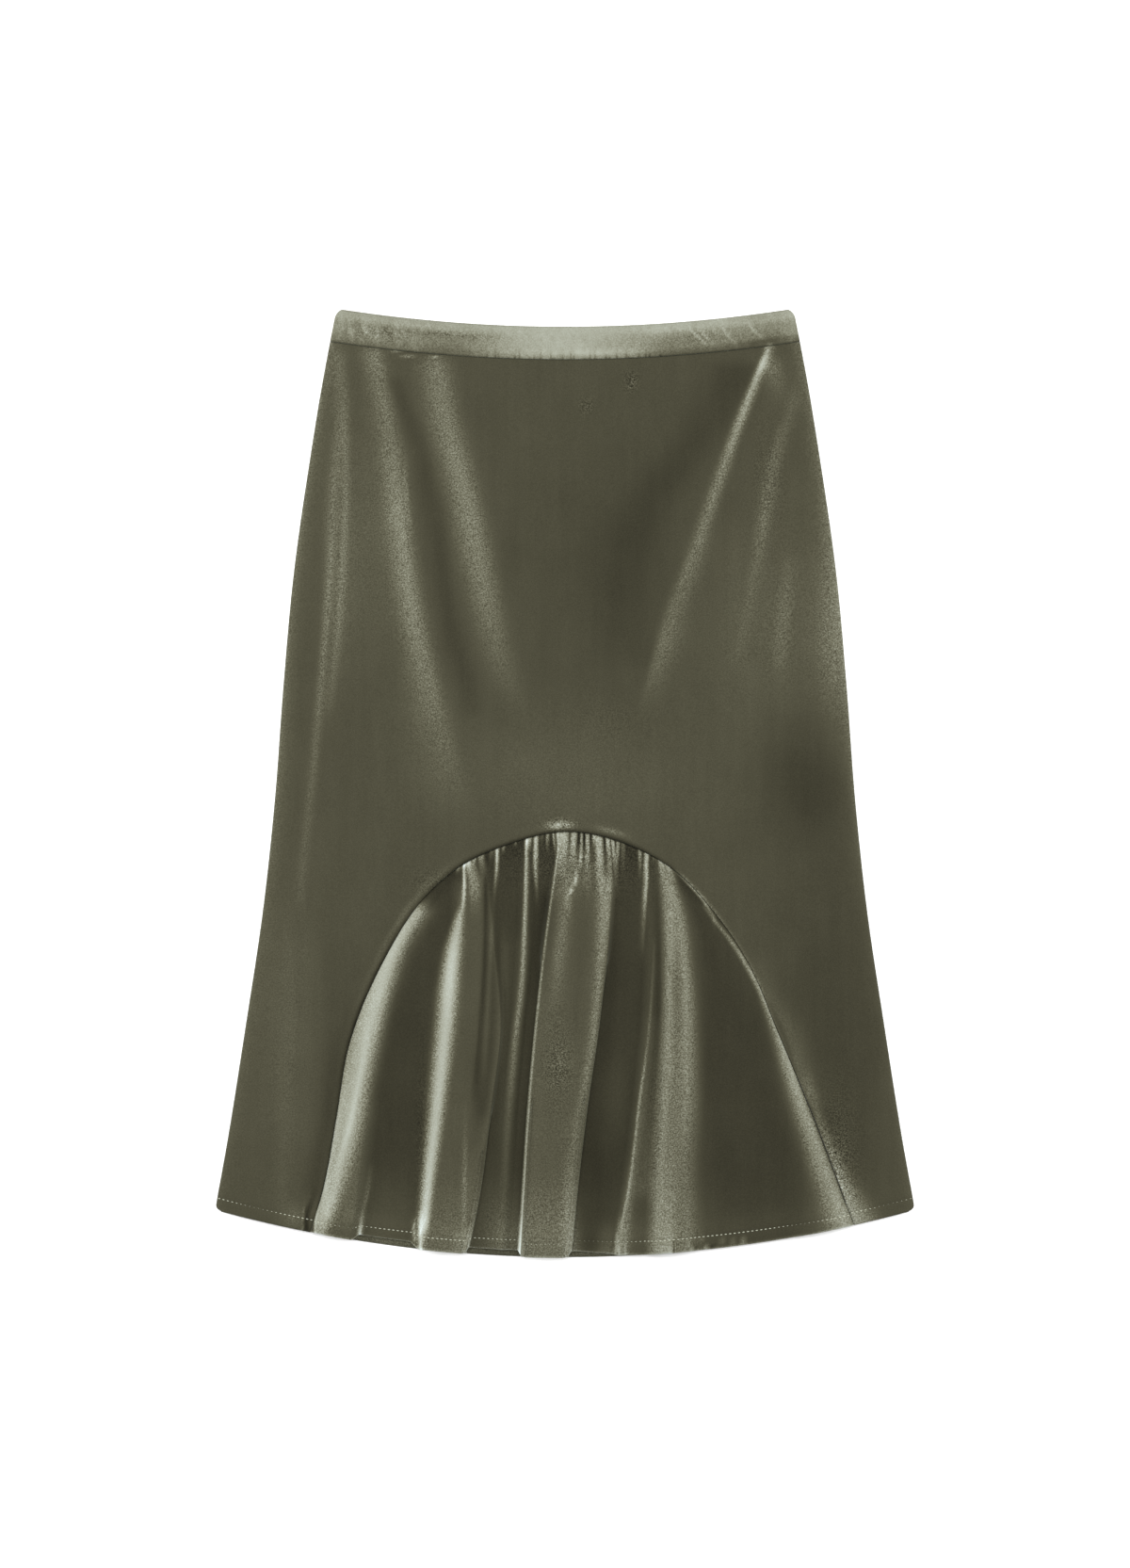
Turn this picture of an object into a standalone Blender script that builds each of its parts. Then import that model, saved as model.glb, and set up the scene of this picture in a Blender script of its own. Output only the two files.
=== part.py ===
"""Mermaid fishtail skirt in stretch velvet, laid flat with its front upward.

The front is cut with an arched notch that rises from the hem, and a gathered godet is set
into the arch. The back is one plain panel, and the waist is an elastic in a turned-over
casing whose front and back halves meet at the side seams.

The middle of the outline is at the origin, +Y runs to the waist, +X to the viewer's right
and +Z up from the surface that the skirt lies on. Lengths are in millimetres, and MM turns
them into Blender's metres.
"""

from typing import NamedTuple

import bmesh
import bpy
import numpy as np

MM = 0.001

# Cloth and sewing
WALL = 1.2  # stretch velvet with its pile
SEAM_GAP = 0.3  # between two sewn pieces, and between the layers
HEM_DEPTH = 10.0  # turned up once, so the cloth is double there
BAND_WALL = 3.2  # the casing with its elastic
BAND_ROLL = 5.0  # width of the band's rolled edges
BAND_EDGE_SHARE = 0.42  # share of the band's thickness left at those edges

# Outline, with the curves y = middle + rise * (x / reach) ** 2
HEM_MIDDLE, HEM_RISE, HEM_REACH = -352.0, 32.2, 245.0
EDGE_MIDDLE, EDGE_RISE, EDGE_REACH = 338.7, 12.6, 161.0
SEAM_MIDDLE, SEAM_RISE, SEAM_REACH = 315.7, 13.3, 174.0
CORNER = 7.0
FIT_ROUNDS = 4  # rounds that find where such a curve meets the skirt's sides


class SidePoint(NamedTuple):
    """Half the skirt's width at one height."""

    y: float
    half_width: float


SIDE = (
    SidePoint(-352.0, 264.5),
    SidePoint(-312.0, 258.7),
    SidePoint(-264.0, 250.3),
    SidePoint(-180.0, 237.0),
    SidePoint(-96.0, 224.4),
    SidePoint(-12.0, 215.3),
    SidePoint(72.0, 209.0),
    SidePoint(156.0, 201.3),
    SidePoint(240.0, 189.4),
    SidePoint(296.0, 180.3),
    SidePoint(352.0, 169.5),
)

# Heights above the surface of the cloth's outer side
LOW_TOP = 2 * WALL + SEAM_GAP  # where the front rests on the back
SHEET_TOP = 4.7  # the front panel between its folds
SIDE_DROP, SIDE_ROLL = 2.2, 12.0  # how the front comes down to the back at a side seam
SIDE_DROP_FROM, SIDE_DROP_FULL = -12.0, 48.0  # depths below the waist seam where it does so
ARCH_DIP, ARCH_ROLL = 0.8, 4.0  # how it dips into the arch seam
HEM_TOP = 4 * WALL + SEAM_GAP  # over the two doubled hems
HEM_RUN = 24.0  # height above the hem where that rise begins


class ArchPoint(NamedTuple):
    """A point of the arch seam."""

    x: float
    y: float


# From the left foot of the arch over its apex to its right foot
ARCH = (
    ArchPoint(-191.0, -332.4),
    ArchPoint(-184.0, -300.0),
    ArchPoint(-172.5, -248.0),
    ArchPoint(-160.0, -193.5),
    ArchPoint(-137.0, -135.0),
    ArchPoint(-103.0, -82.5),
    ArchPoint(-81.0, -63.0),
    ArchPoint(-42.0, -44.5),
    ArchPoint(0.0, -35.3),
    ArchPoint(42.0, -43.0),
    ArchPoint(84.5, -66.5),
    ArchPoint(108.0, -91.5),
    ArchPoint(137.0, -134.0),
    ArchPoint(158.0, -183.0),
    ArchPoint(187.0, -253.0),
    ArchPoint(215.0, -327.2),
)
ARCH_X, ARCH_Y = zip(*ARCH)
LEFT_SHOULDER, RIGHT_SHOULDER = 6, 10  # the arch points below the waist's two corners
GODET_LEFT, GODET_RIGHT = 5, 11  # the arch points where the godet's top ends
TANGENT_STEP = 0.5  # length over which the seam's direction is read
SEAM_SAMPLES = 240  # points read along the seam to measure from it

# Steps of the panels' meshes, as distances from an edge
HEM_STEPS = (0.0, 1.2, 3.5, 9.5, 14.0)
ARCH_STEPS = (0.0, 1.6, 4.5)
SIDE_STEPS = (8.0, 3.0, 1.0, 0.0)
SIDE_COLUMNS, WAIST_COLUMNS, PANEL_ROWS = 13, 27, 12
ARCH_CLOSING, SIDE_OPENING = 1.45, 1.6  # how the columns crowd at a shoulder and at the hem
BAND_COLUMNS = 20
BAND_STEPS = (0.0, 0.8, 2.4, 5.0, 11.5, 18.0, 20.6, 22.2, 23.0)
BACK_COLUMNS, BACK_ROWS = 14, 9


class Ridge(NamedTuple):
    """A soft fold of the front panel, along three points from its top to its bottom."""

    name: str
    path_x: tuple
    path_y: tuple
    height: float
    spread_left: float
    spread_right: float


RIDGES = (
    Ridge("side left", (-163, -165, -190), (285, 150, -50), 2.2, 9, 16),
    Ridge("hip left", (-139, -119, -82), (305, 195, -25), 3.2, 9, 22),
    Ridge("front left", (-96, -71, -35), (305, 195, 55), 3.4, 10, 24),
    Ridge("front right", (145, 102, 64), (305, 195, 52), 4.0, 24, 10),
    Ridge("hip right", (166, 149, 128), (300, 195, 70), 2.8, 18, 9),
    Ridge("side right", (174, 168, 190), (170, 80, -60), 2.0, 16, 12),
    Ridge("leg left", (-205, -214, -226), (-90, -190, -290), 1.6, 12, 14),
    Ridge("leg right", (188, 212, 234), (-110, -200, -290), 1.8, 12, 10),
)
RIDGE_START, RIDGE_END = 16.0, 70.0  # lengths over which a ridge rises and fades


class Fold(NamedTuple):
    """A fold of the godet, whose left and right are the edges of its crest.

    Each has its values at the arch, halfway down and at the hem, and the height has those at
    the arch, where it has opened, and at the hem. It slopes down over reach, or is tucked
    back under its own edge by tuck.
    """

    name: str
    left: tuple
    right: tuple
    height: tuple
    reach_left: float
    reach_right: float
    tuck_left: float
    tuck_right: float


FOLDS = (
    Fold("left roll", (-96, -139, -169), (-94, -135, -158), (1.0, 5.0, 8.0), 0, 9, 0, 0),
    Fold("left pleat", (-74, -84, -99), (-60, -58, -69.5), (1.4, 5.6, 8.8), 10, 6, 0, 5),
    Fold("narrow ridge", (-31, -38, -48), (-28, -36, -45), (1.4, 3.4, 1.6), 5, 6, 0, 0),
    Fold("tongue", (-3, -23, -32.5), (37, 26, 6.5), (2.0, 6.8, 9.6), 6, 6, 5.5, 5.5),
    Fold("right ridge", (61, 59, 42), (63, 61, 45), (1.4, 3.6, 2.8), 5, 6, 0, 0),
    Fold("right roll", (73, 76, 71), (83, 89, 88), (1.4, 4.4, 5.4), 8, 16, 0, 0),
    Fold("right edge", (101, 138, 186), (104, 142, 192), (0.8, 3.4, 5.0), 22, 0, 0, 0),
)
HALFWAY = 0.46  # where the middle places of a fold hold, from arch to hem
OPENED = 0.26  # where its middle height holds
SLOPE_STEPS = 3
# A tucked side, as (share of the tuck, share of the height sideways, share of the height up)
TUCK_PATH = (
    (0.00, -0.30, 0.00),
    (0.75, 0.00, 0.00),
    (1.00, 0.00, 0.15),
    (0.70, 0.00, 0.30),
    (0.00, 0.00, 0.32),
    (0.00, -0.10, 0.64),
    (0.00, 0.22, 1.00),
)
TUCK_FROM, TUCK_FULL = 4.6, 6.8  # heights between which a fold tips over its own foot
MERGE = 0.10  # share of the length over which the gathers run together into the folds
FEET_APART = 1.2  # least distance between the feet of two folds
CREST_BULGE = 1.04  # height of a crest's middle as a share of its edges' height
# How the godet rises from its sewn edge to its first crest, as (share sideways, share up)
EDGE_PATH = ((0.12, 0.45), (0.40, 0.86))
GODET_ROWS_FROM_HEM = (0.0, 1.2, 3.5, 9.5, 14.0, 34, 64, 96, 128, 160, 190, 217, 241, 262, 280)
GODET_ROWS_FROM_ARCH = (11.0, 4.0, 0.0)
GODET_LENGTH = 300.0
SEAM_HEIGHT = 0.9  # of the godet's sewn edge over LOW_TOP
GATHER_HEIGHT = 0.9  # of the small puckers along the gathered seam
GATHER_AT_SEAM = 0.4  # share of that height where the seam presses it
GATHER_RUN, GATHER_VARIATION = 26.0, 0.45  # mean length of a pucker, and the share it varies by
GATHER_TURN = 2.4  # radians from one pucker to the next in that variation
GATHERED_FROM, GATHERED_TO, GATHER_FADE = -80.0, 86.0, 6.0
# How far the hem draws up between the folds of the left half
VALLEY_RISE, VALLEY_POWER = 4.5, 6
VALLEY_DEPTH = 7.5  # height of a crest that stays down
VALLEY_LEFT, VALLEY_LEFT_FULL = -185.0, -155.0
VALLEY_RIGHT, VALLEY_RIGHT_FULL = 60.0, 0.0

VELVET = (0.085, 0.085, 0.058)
VELVET_LIGHT = (0.150, 0.155, 0.115)
VELVET_BAND = (0.230, 0.240, 0.190)
VELVET_ROUGHNESS, VELVET_SHEEN = 0.85, 0.6
SHARP_ANGLE = 50.0  # degrees, past which an edge is shaded sharp


def smooth_curve(stations, values, at):
    """A smooth curve through the values at the stations, read at the given places."""
    stations = np.asarray(stations, float)
    values = np.asarray(values, float)
    slopes = np.gradient(values, stations)
    index = np.clip(np.searchsorted(stations, at) - 1, 0, len(stations) - 2)
    run = stations[index + 1] - stations[index]
    s = (np.asarray(at, float) - stations[index]) / run
    start = (2 * s**3 - 3 * s**2 + 1) * values[index] + (s**3 - 2 * s**2 + s) * run * slopes[index]
    end = (3 * s**2 - 2 * s**3) * values[index + 1] + (s**3 - s**2) * run * slopes[index + 1]
    return start + end


def ease(s):
    """0 before 0, 1 after 1, and a smooth step between."""
    s = np.clip(s, 0.0, 1.0)
    return s * s * (3 - 2 * s)


def quarter_round(distance, radius):
    """1 on an edge and 0 beyond the radius, falling as a quarter circle does."""
    s = np.clip(np.asarray(distance, float) / radius, 0.0, 1.0)
    return 1 - np.sqrt(1 - (1 - s) ** 2)


def hem_line(x):
    """Height of the hem's edge."""
    return HEM_MIDDLE + HEM_RISE * (x / HEM_REACH) ** 2


def waist_edge(x):
    """Height of the waistband's upper edge."""
    return EDGE_MIDDLE + EDGE_RISE * (x / EDGE_REACH) ** 2


def waist_seam(x):
    """Height of the seam below the waistband."""
    return SEAM_MIDDLE + SEAM_RISE * (x / SEAM_REACH) ** 2


def half_width(y):
    """Half the skirt's width, with the corners at the hem and the waist rounded off."""
    width = smooth_curve(*zip(*SIDE), y)
    for inside in (y - hem_line(width), waist_edge(width) - y):
        depth = CORNER - np.clip(inside, 0.0, CORNER)
        width = width - CORNER + np.sqrt(CORNER**2 - depth**2)
    return width


def arch_lengths():
    """Length along the arch seam from its left foot to each of its points."""
    steps = np.hypot(np.diff(ARCH_X), np.diff(ARCH_Y))
    return np.concatenate([[0.0], np.cumsum(steps)])


def arch_point(length, inset=0.0):
    """Points on the arch seam, as an array of x and y, moved inward by the inset."""
    lengths = arch_lengths()
    x = smooth_curve(lengths, ARCH_X, length)
    y = smooth_curve(lengths, ARCH_Y, length)
    ahead_x = smooth_curve(lengths, ARCH_X, length + TANGENT_STEP) - x
    ahead_y = smooth_curve(lengths, ARCH_Y, length + TANGENT_STEP) - y
    norm = np.hypot(ahead_x, ahead_y)
    return np.stack([x + inset * ahead_y / norm, y - inset * ahead_x / norm], axis=-1)


def arch_distance(x, y):
    """Distance from each point to the arch seam."""
    seam = arch_point(np.linspace(0.0, arch_lengths()[-1], SEAM_SAMPLES))
    apart = np.hypot(x[..., None] - seam[:, 0], y[..., None] - seam[:, 1])
    return apart.min(axis=-1)


def ridge_height(ridge, x, y):
    """Height that one soft fold adds to the front panel."""
    top, bottom = ridge.path_y[0], ridge.path_y[2]
    along = np.clip(y, bottom, top)
    path = smooth_curve(ridge.path_y[::-1], ridge.path_x[::-1], along)
    spread = np.where(x < path, ridge.spread_left, ridge.spread_right)
    across = np.exp(-(((x - path) / spread) ** 2))
    return ridge.height * across * ease((top - y) / RIDGE_START) * ease((y - bottom) / RIDGE_END)


def hem_rise(x, y):
    """0 on the open cloth and 1 over the doubled hem."""
    above = y - hem_line(x)
    return ease((HEM_RUN - above) / (HEM_RUN - HEM_DEPTH))


def panel_top(x, y):
    """Height of the front panel's outer side."""
    below_waist = waist_seam(x) - y
    dropped = ease((below_waist - SIDE_DROP_FROM) / (SIDE_DROP_FULL - SIDE_DROP_FROM))
    at_side = quarter_round(half_width(y) - np.abs(x), SIDE_ROLL)
    rise = hem_rise(x, y)
    z = SHEET_TOP - SIDE_DROP * at_side * dropped * (1 - rise)
    z = z - ARCH_DIP * quarter_round(arch_distance(x, y), ARCH_ROLL) * (1 - rise)
    z = z + (HEM_TOP - SHEET_TOP) * rise
    inland = ease((half_width(y) - np.abs(x)) / SIDE_ROLL)
    for ridge in RIDGES:
        z = z + ridge_height(ridge, x, y) * inland
    return z


def panel_outline():
    """Matching points on the arch and on the outer edge, from the left hem round to the right."""
    lengths = arch_lengths()
    total = lengths[-1]
    hem = np.array(HEM_STEPS)
    corner_x = half_width(np.array(waist_seam(SEAM_REACH)))
    seam_corner = waist_seam(corner_x) - SEAM_GAP
    sides = []
    for shoulder in (lengths[LEFT_SHOULDER], total - lengths[RIGHT_SHOULDER]):
        share = np.linspace(0.0, 1.0, SIDE_COLUMNS + 1)[1:]
        closing = 1 - (1 - share) ** ARCH_CLOSING
        along = np.concatenate([hem, hem[-1] + closing * (shoulder - hem[-1])])
        start = hem_line(SIDE[1].half_width)
        rising = start + hem[-1] + share**SIDE_OPENING * (seam_corner - start - hem[-1])
        up = np.concatenate([start + hem, rising])
        sides.append((along, up))
    (left_along, left_up), (right_along, right_up) = sides
    across = np.linspace(-1.0, 1.0, WAIST_COLUMNS + 1)[1:-1]
    between = lengths[LEFT_SHOULDER] + (across + 1) / 2 * (
        lengths[RIGHT_SHOULDER] - lengths[LEFT_SHOULDER]
    )
    inner = arch_point(np.concatenate([left_along, between, total - right_along[::-1]]))
    waist_x = across * corner_x
    outer = np.concatenate(
        [
            np.stack([-half_width(left_up), left_up], axis=-1),
            np.stack([waist_x, waist_seam(waist_x) - SEAM_GAP], axis=-1),
            np.stack([half_width(right_up), right_up], axis=-1)[::-1],
        ]
    )
    return settle_hem_ends(inner, outer)


def settle_hem_ends(inner, outer):
    """Keeps each of the first and last columns at its own height above the curved hem."""
    for column, above in enumerate(HEM_STEPS):
        for end in (column, -1 - column):
            inner[end, 1] = hem_line(inner[end, 0]) + above
            outer[end, 1] = hem_line(outer[end, 0]) + above
            outer[end, 0] = np.sign(outer[end, 0]) * half_width(outer[end, 1])
    return inner, outer


def spaced(near, middle_steps, far, length):
    """Distances along a line: set steps near its two ends, and even ones between."""
    first, last = near[-1], length - far[0]
    middle = first + (last - first) * np.linspace(0.0, 1.0, middle_steps + 1)[1:-1]
    return np.concatenate([near, middle, [last], length - np.array(far[1:])])


def panel_points():
    """The front panel's outer side, from arch to outer edge and from left hem to right."""
    inner, outer = panel_outline()
    rows = []
    for start, end in zip(inner, outer):
        length = np.hypot(*(end - start))
        shares = spaced(ARCH_STEPS, PANEL_ROWS, SIDE_STEPS, length) / length
        rows.append(start + shares[:, None] * (end - start))
    plan = np.stack(rows, axis=1)
    x, y = plan[..., 0], plan[..., 1]
    first_and_last = (slice(None), [*range(len(HEM_STEPS)), *range(-len(HEM_STEPS), 0)])
    above = np.concatenate([HEM_STEPS, HEM_STEPS[::-1]])
    y[first_and_last] = hem_line(x[first_and_last]) + above
    return np.stack([x, y, panel_top(x, y)], axis=-1)


def slope_side(reach, height, steps):
    """A plain side of a fold, from its foot to the edge of its crest."""
    share = np.linspace(0.0, 1.0, steps)
    return np.stack([-reach * (1 - share), height * ease(share)], axis=-1)


def fold_side(reach, tuck, height):
    """One side of a fold, from its foot to its crest's edge, sideways and up."""
    if tuck == 0:
        return slope_side(reach, height, SLOPE_STEPS)
    path = np.array(TUCK_PATH)
    tucked = np.stack([path[:, 0] * tuck + path[:, 1] * height, path[:, 2] * height], axis=-1)
    plain = slope_side(reach, height, len(path))
    return plain + (tucked - plain) * ease((height - TUCK_FROM) / (TUCK_FULL - TUCK_FROM))


def fold_section(fold, share, room_left, room_right):
    """Points of one fold at a share of the length, as x and height, from left to right."""
    left, right = (smooth_curve((0.0, HALFWAY, 1.0), edge, share) for edge in fold[1:3])
    height = smooth_curve((0.0, OPENED, 1.0), fold.height, share)
    rising = fold_side(min(fold.reach_left, room_left), fold.tuck_left, height)
    falling = fold_side(min(fold.reach_right, room_right), fold.tuck_right, height)
    crest = np.array([[(left + right) / 2, height * CREST_BULGE]])
    return np.concatenate([rising + (left, 0), crest, falling[::-1] * (-1, 1) + (right, 0)])


def godet_section(share, start, end):
    """Points across the godet at a share of its length, between its two edges."""
    lefts = [smooth_curve((0.0, HALFWAY, 1.0), fold.left, share) for fold in FOLDS]
    rights = [smooth_curve((0.0, HALFWAY, 1.0), fold.right, share) for fold in FOLDS]
    rooms = [(left - right - FEET_APART) / 2 for left, right in zip(lefts[1:], rights)]
    sections = []
    for fold, room_left, room_right in zip(FOLDS, [0.0, *rooms], [*rooms, 0.0]):
        section = fold_section(fold, share, room_left, room_right)
        if sections:
            sections.append(((sections[-1][-1] + section[0]) / 2)[None, :])
        sections.append(section)
    points = np.concatenate(sections)[SLOPE_STEPS - 1: 1 - SLOPE_STEPS]
    edges = []
    for seam_x, crest in ((start, points[0]), (end, points[-1])):
        seam = np.array([seam_x, SEAM_HEIGHT])
        edges.append([seam, *(seam + (crest - seam) * np.array(EDGE_PATH))])
    return np.concatenate([edges[0], points, edges[1][::-1]])


def gathered_top(columns):
    """Even places across the top of the godet, with a pucker up or down at each column."""
    lengths = arch_lengths()
    along = np.linspace(lengths[GODET_LEFT], lengths[GODET_RIGHT], columns)
    x = arch_point(along, SEAM_GAP)[:, 0]
    inside = ease((x - GATHERED_FROM) / GATHER_FADE) * ease((GATHERED_TO - x) / GATHER_FADE)
    puckers = inside * np.where(np.arange(columns) % 2, 1.0, -1.0)
    return (x - x[0]) / (x[-1] - x[0]), puckers


def godet_points():
    """The godet's outer side, from the hem to the arch and from left to right."""
    lengths = arch_lengths()
    from_arch = np.array(GODET_ROWS_FROM_ARCH) / GODET_LENGTH
    shares = np.concatenate([1 - np.array(GODET_ROWS_FROM_HEM) / GODET_LENGTH, from_arch])
    top_across, puckers = gathered_top(len(godet_section(0.5, -100.0, 100.0)))
    run = GATHER_RUN * (1 + GATHER_VARIATION * np.sin(np.arange(len(puckers)) * GATHER_TURN))
    rows = []
    for share in shares:
        left = arch_point(lengths[GODET_LEFT] * (1 - share), SEAM_GAP)
        up_right = (lengths[GODET_RIGHT] - lengths[-1]) * (1 - share)
        right = arch_point(lengths[-1] + up_right, SEAM_GAP)
        section = godet_section(share, left[0], right[0])
        across = (section[:, 0] - left[0]) / (right[0] - left[0])
        across = top_across + (across - top_across) * ease(share / MERGE)
        x = left[0] + across * (right[0] - left[0])
        y = godet_height_line(across, share, left, right)
        y = y + VALLEY_RISE * share**VALLEY_POWER * valley_share(x, section[:, 1])
        low = LOW_TOP + (HEM_TOP - LOW_TOP) * hem_rise(x, y)
        height = SEAM_HEIGHT + (section[:, 1] - SEAM_HEIGHT) * ease(share / MERGE)
        below = share * GODET_LENGTH
        held = GATHER_AT_SEAM + (1 - GATHER_AT_SEAM) * ease(below / GODET_ROWS_FROM_ARCH[1])
        pucker = GATHER_HEIGHT * puckers * held * np.exp(-((below / run) ** 2))
        rows.append(np.stack([x, y, low + height + pucker], axis=-1))
    return np.stack(rows)


def valley_share(x, height):
    """1 in the valleys between the folds of the left half, and 0 on their crests."""
    from_left = ease((x - VALLEY_LEFT) / (VALLEY_LEFT_FULL - VALLEY_LEFT))
    from_right = ease((x - VALLEY_RIGHT) / (VALLEY_RIGHT_FULL - VALLEY_RIGHT))
    return ease(1 - height / VALLEY_DEPTH) * from_left * from_right


def godet_height_line(across, share, left, right):
    """The y of a row of the godet: the arch at its top, the hem at its foot."""
    inside = np.clip(across, 0.0, 1.0)
    ends = arch_lengths()[[GODET_LEFT, GODET_RIGHT]]
    seam = arch_point(np.linspace(*ends, SEAM_SAMPLES), SEAM_GAP)
    top = np.interp(seam[0, 0] + inside * (seam[-1, 0] - seam[0, 0]), seam[:, 0], seam[:, 1])
    foot_left, foot_right = ARCH_X[0] + SEAM_GAP, ARCH_X[-1] - SEAM_GAP
    foot = hem_line(foot_left + inside * (foot_right - foot_left))
    blended = top + (foot - top) * share
    miss_left, miss_right = left[1] - blended[0], right[1] - blended[-1]
    return blended + miss_left * (1 - inside) + miss_right * inside


def full_row(across, line):
    """A row from side to side on the line y(x), as x and y."""
    x = across * SIDE[-1].half_width
    for _ in range(FIT_ROUNDS):
        x = across * half_width(line(x)[-1])
    return x, line(x)


def back_points():
    """The back panel's outer side, which rests flat."""
    across = np.linspace(-1.0, 1.0, BACK_COLUMNS + 1)
    lines = [lambda x, above=above: hem_line(x) + above for above in HEM_STEPS]
    for share in np.linspace(0.0, 1.0, BACK_ROWS + 1)[1:]:
        lines.append(
            lambda x, share=share: (hem_line(x) + HEM_STEPS[-1]) * (1 - share)
            + (waist_seam(x) - SEAM_GAP) * share
        )
    rows = [full_row(across, line) for line in lines]
    return np.stack([np.stack([x, y, np.zeros_like(x)], axis=-1) for x, y in rows])


def band_points(bottom):
    """The waistband half's outer side, from its seam to its upper edge."""
    across = np.linspace(-1.0, 1.0, BAND_COLUMNS + 1)
    depth = BAND_STEPS[-1]
    rows = []
    for above in BAND_STEPS:
        share = above / depth
        x, y = full_row(across, lambda x: waist_seam(x) + (waist_edge(x) - waist_seam(x)) * share)
        end = half_width(y[-1]) - np.abs(x)
        roll = quarter_round(np.minimum(min(above, depth - above), end), BAND_ROLL)
        z = bottom + BAND_WALL * (1 - (1 - BAND_EDGE_SHARE) * roll)
        rows.append(np.stack([x, y, z], axis=-1))
    return np.stack(rows)


def velvet(name, colour):
    """A velvet of one colour."""
    material = bpy.data.materials.new(name)
    material.use_nodes = True
    shader = material.node_tree.nodes["Principled BSDF"]
    shader.inputs["Base Color"].default_value = (*colour, 1.0)
    shader.inputs["Roughness"].default_value = VELVET_ROUGHNESS
    shader.inputs["Metallic"].default_value = 0.0
    shader.inputs["Sheen Weight"].default_value = VELVET_SHEEN
    return material


def sheet_mesh(points, double=None):
    """A grid of cloth bent to the points, in metres, with its doubled hem weighted 1."""
    rows, columns = points.shape[:2]
    bm = bmesh.new()
    bmesh.ops.create_grid(bm, x_segments=columns - 1, y_segments=rows - 1, size=1.0)
    weight = bm.verts.layers.deform.verify()
    for vert in bm.verts:
        column = round((vert.co.x + 1) / 2 * (columns - 1))
        row = round((vert.co.y + 1) / 2 * (rows - 1))
        vert.co = points[row, column] * MM
        if double is not None:
            vert[weight][0] = 1.0 if double[row, column] else 0.5
    return bm


def doubled_at_hem(shape, axis):
    """Which points of a grid lie on the turned-up hem, where axis runs up from it."""
    steps = np.arange(shape[axis])
    near = sum(step < HEM_DEPTH for step in HEM_STEPS)
    hem = steps < near
    if axis == 1:
        hem = hem | hem[::-1]
    return np.broadcast_to(hem if axis == 1 else hem[:, None], shape)


def add_object(name, bm, material, parent):
    """Turns a bmesh into a smooth-shaded object of the skirt."""
    mesh = bpy.data.meshes.new(name)
    bm.to_mesh(mesh)
    bm.free()
    mesh.materials.append(material)
    mesh.shade_smooth()
    mesh.set_sharp_from_angle(angle=np.radians(SHARP_ANGLE))
    obj = bpy.data.objects.new(name, mesh)
    bpy.context.scene.collection.objects.link(obj)
    obj.parent = parent
    return obj


def add_panel(name, points, double, material, parent, side):
    """A wall of cloth on the points. side is -1 where they are its upper side, 1 its lower."""
    obj = add_object(name, sheet_mesh(points, double), material, parent)
    cloth = obj.vertex_groups.new(name="cloth")
    wall = obj.modifiers.new("wall", "SOLIDIFY")
    wall.thickness = 2 * WALL * MM
    wall.offset = side
    wall.vertex_group = cloth.name
    return obj


def add_band(name, bottom, material, parent):
    """A half of the waistband, flat below and rolled at its edges."""
    bm = sheet_mesh(band_points(bottom))
    under = bmesh.ops.extrude_face_region(bm, geom=bm.faces[:])
    flat = [item for item in under["geom"] if isinstance(item, bmesh.types.BMVert)]
    for vert in flat:
        vert.co.z = bottom * MM
    bmesh.ops.recalc_face_normals(bm, faces=bm.faces)
    return add_object(name, bm, material, parent)


def build_skirt():
    """All the pieces of the skirt."""
    for old in list(bpy.data.objects):
        bpy.data.objects.remove(old, do_unlink=True)
    skirt = bpy.data.objects.new("fishtail_skirt", None)
    bpy.context.scene.collection.objects.link(skirt)
    panel_velvet = velvet("olive velvet", VELVET)
    godet_velvet = velvet("olive velvet of the godet", VELVET_LIGHT)
    back_velvet = velvet("olive velvet of the back", VELVET)
    band_velvet = velvet("olive velvet with its pile reversed", VELVET_BAND)
    pieces = (
        ("front_panel", panel_points(), 1, panel_velvet, -1),
        ("godet", godet_points(), 0, godet_velvet, -1),
        ("back_panel", back_points(), 0, back_velvet, 1),
    )
    for name, points, across_hem, material, side in pieces:
        double = doubled_at_hem(points.shape[:2], across_hem)
        add_panel(name, points, double, material, skirt, side)
    add_band("waistband_front", BAND_WALL + SEAM_GAP, band_velvet, skirt)
    add_band("waistband_back", 0.0, band_velvet, skirt)


build_skirt()
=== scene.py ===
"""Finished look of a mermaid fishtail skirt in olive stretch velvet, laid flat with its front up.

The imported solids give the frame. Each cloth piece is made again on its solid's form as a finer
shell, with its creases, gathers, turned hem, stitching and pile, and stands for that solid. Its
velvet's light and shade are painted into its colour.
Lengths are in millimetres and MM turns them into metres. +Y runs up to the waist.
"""

import logging
import math
from collections.abc import Callable, Iterable
from dataclasses import dataclass, field
from enum import Enum
from typing import Protocol

import bmesh
import bpy
import numpy as np
from mathutils import Matrix, Vector


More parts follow.
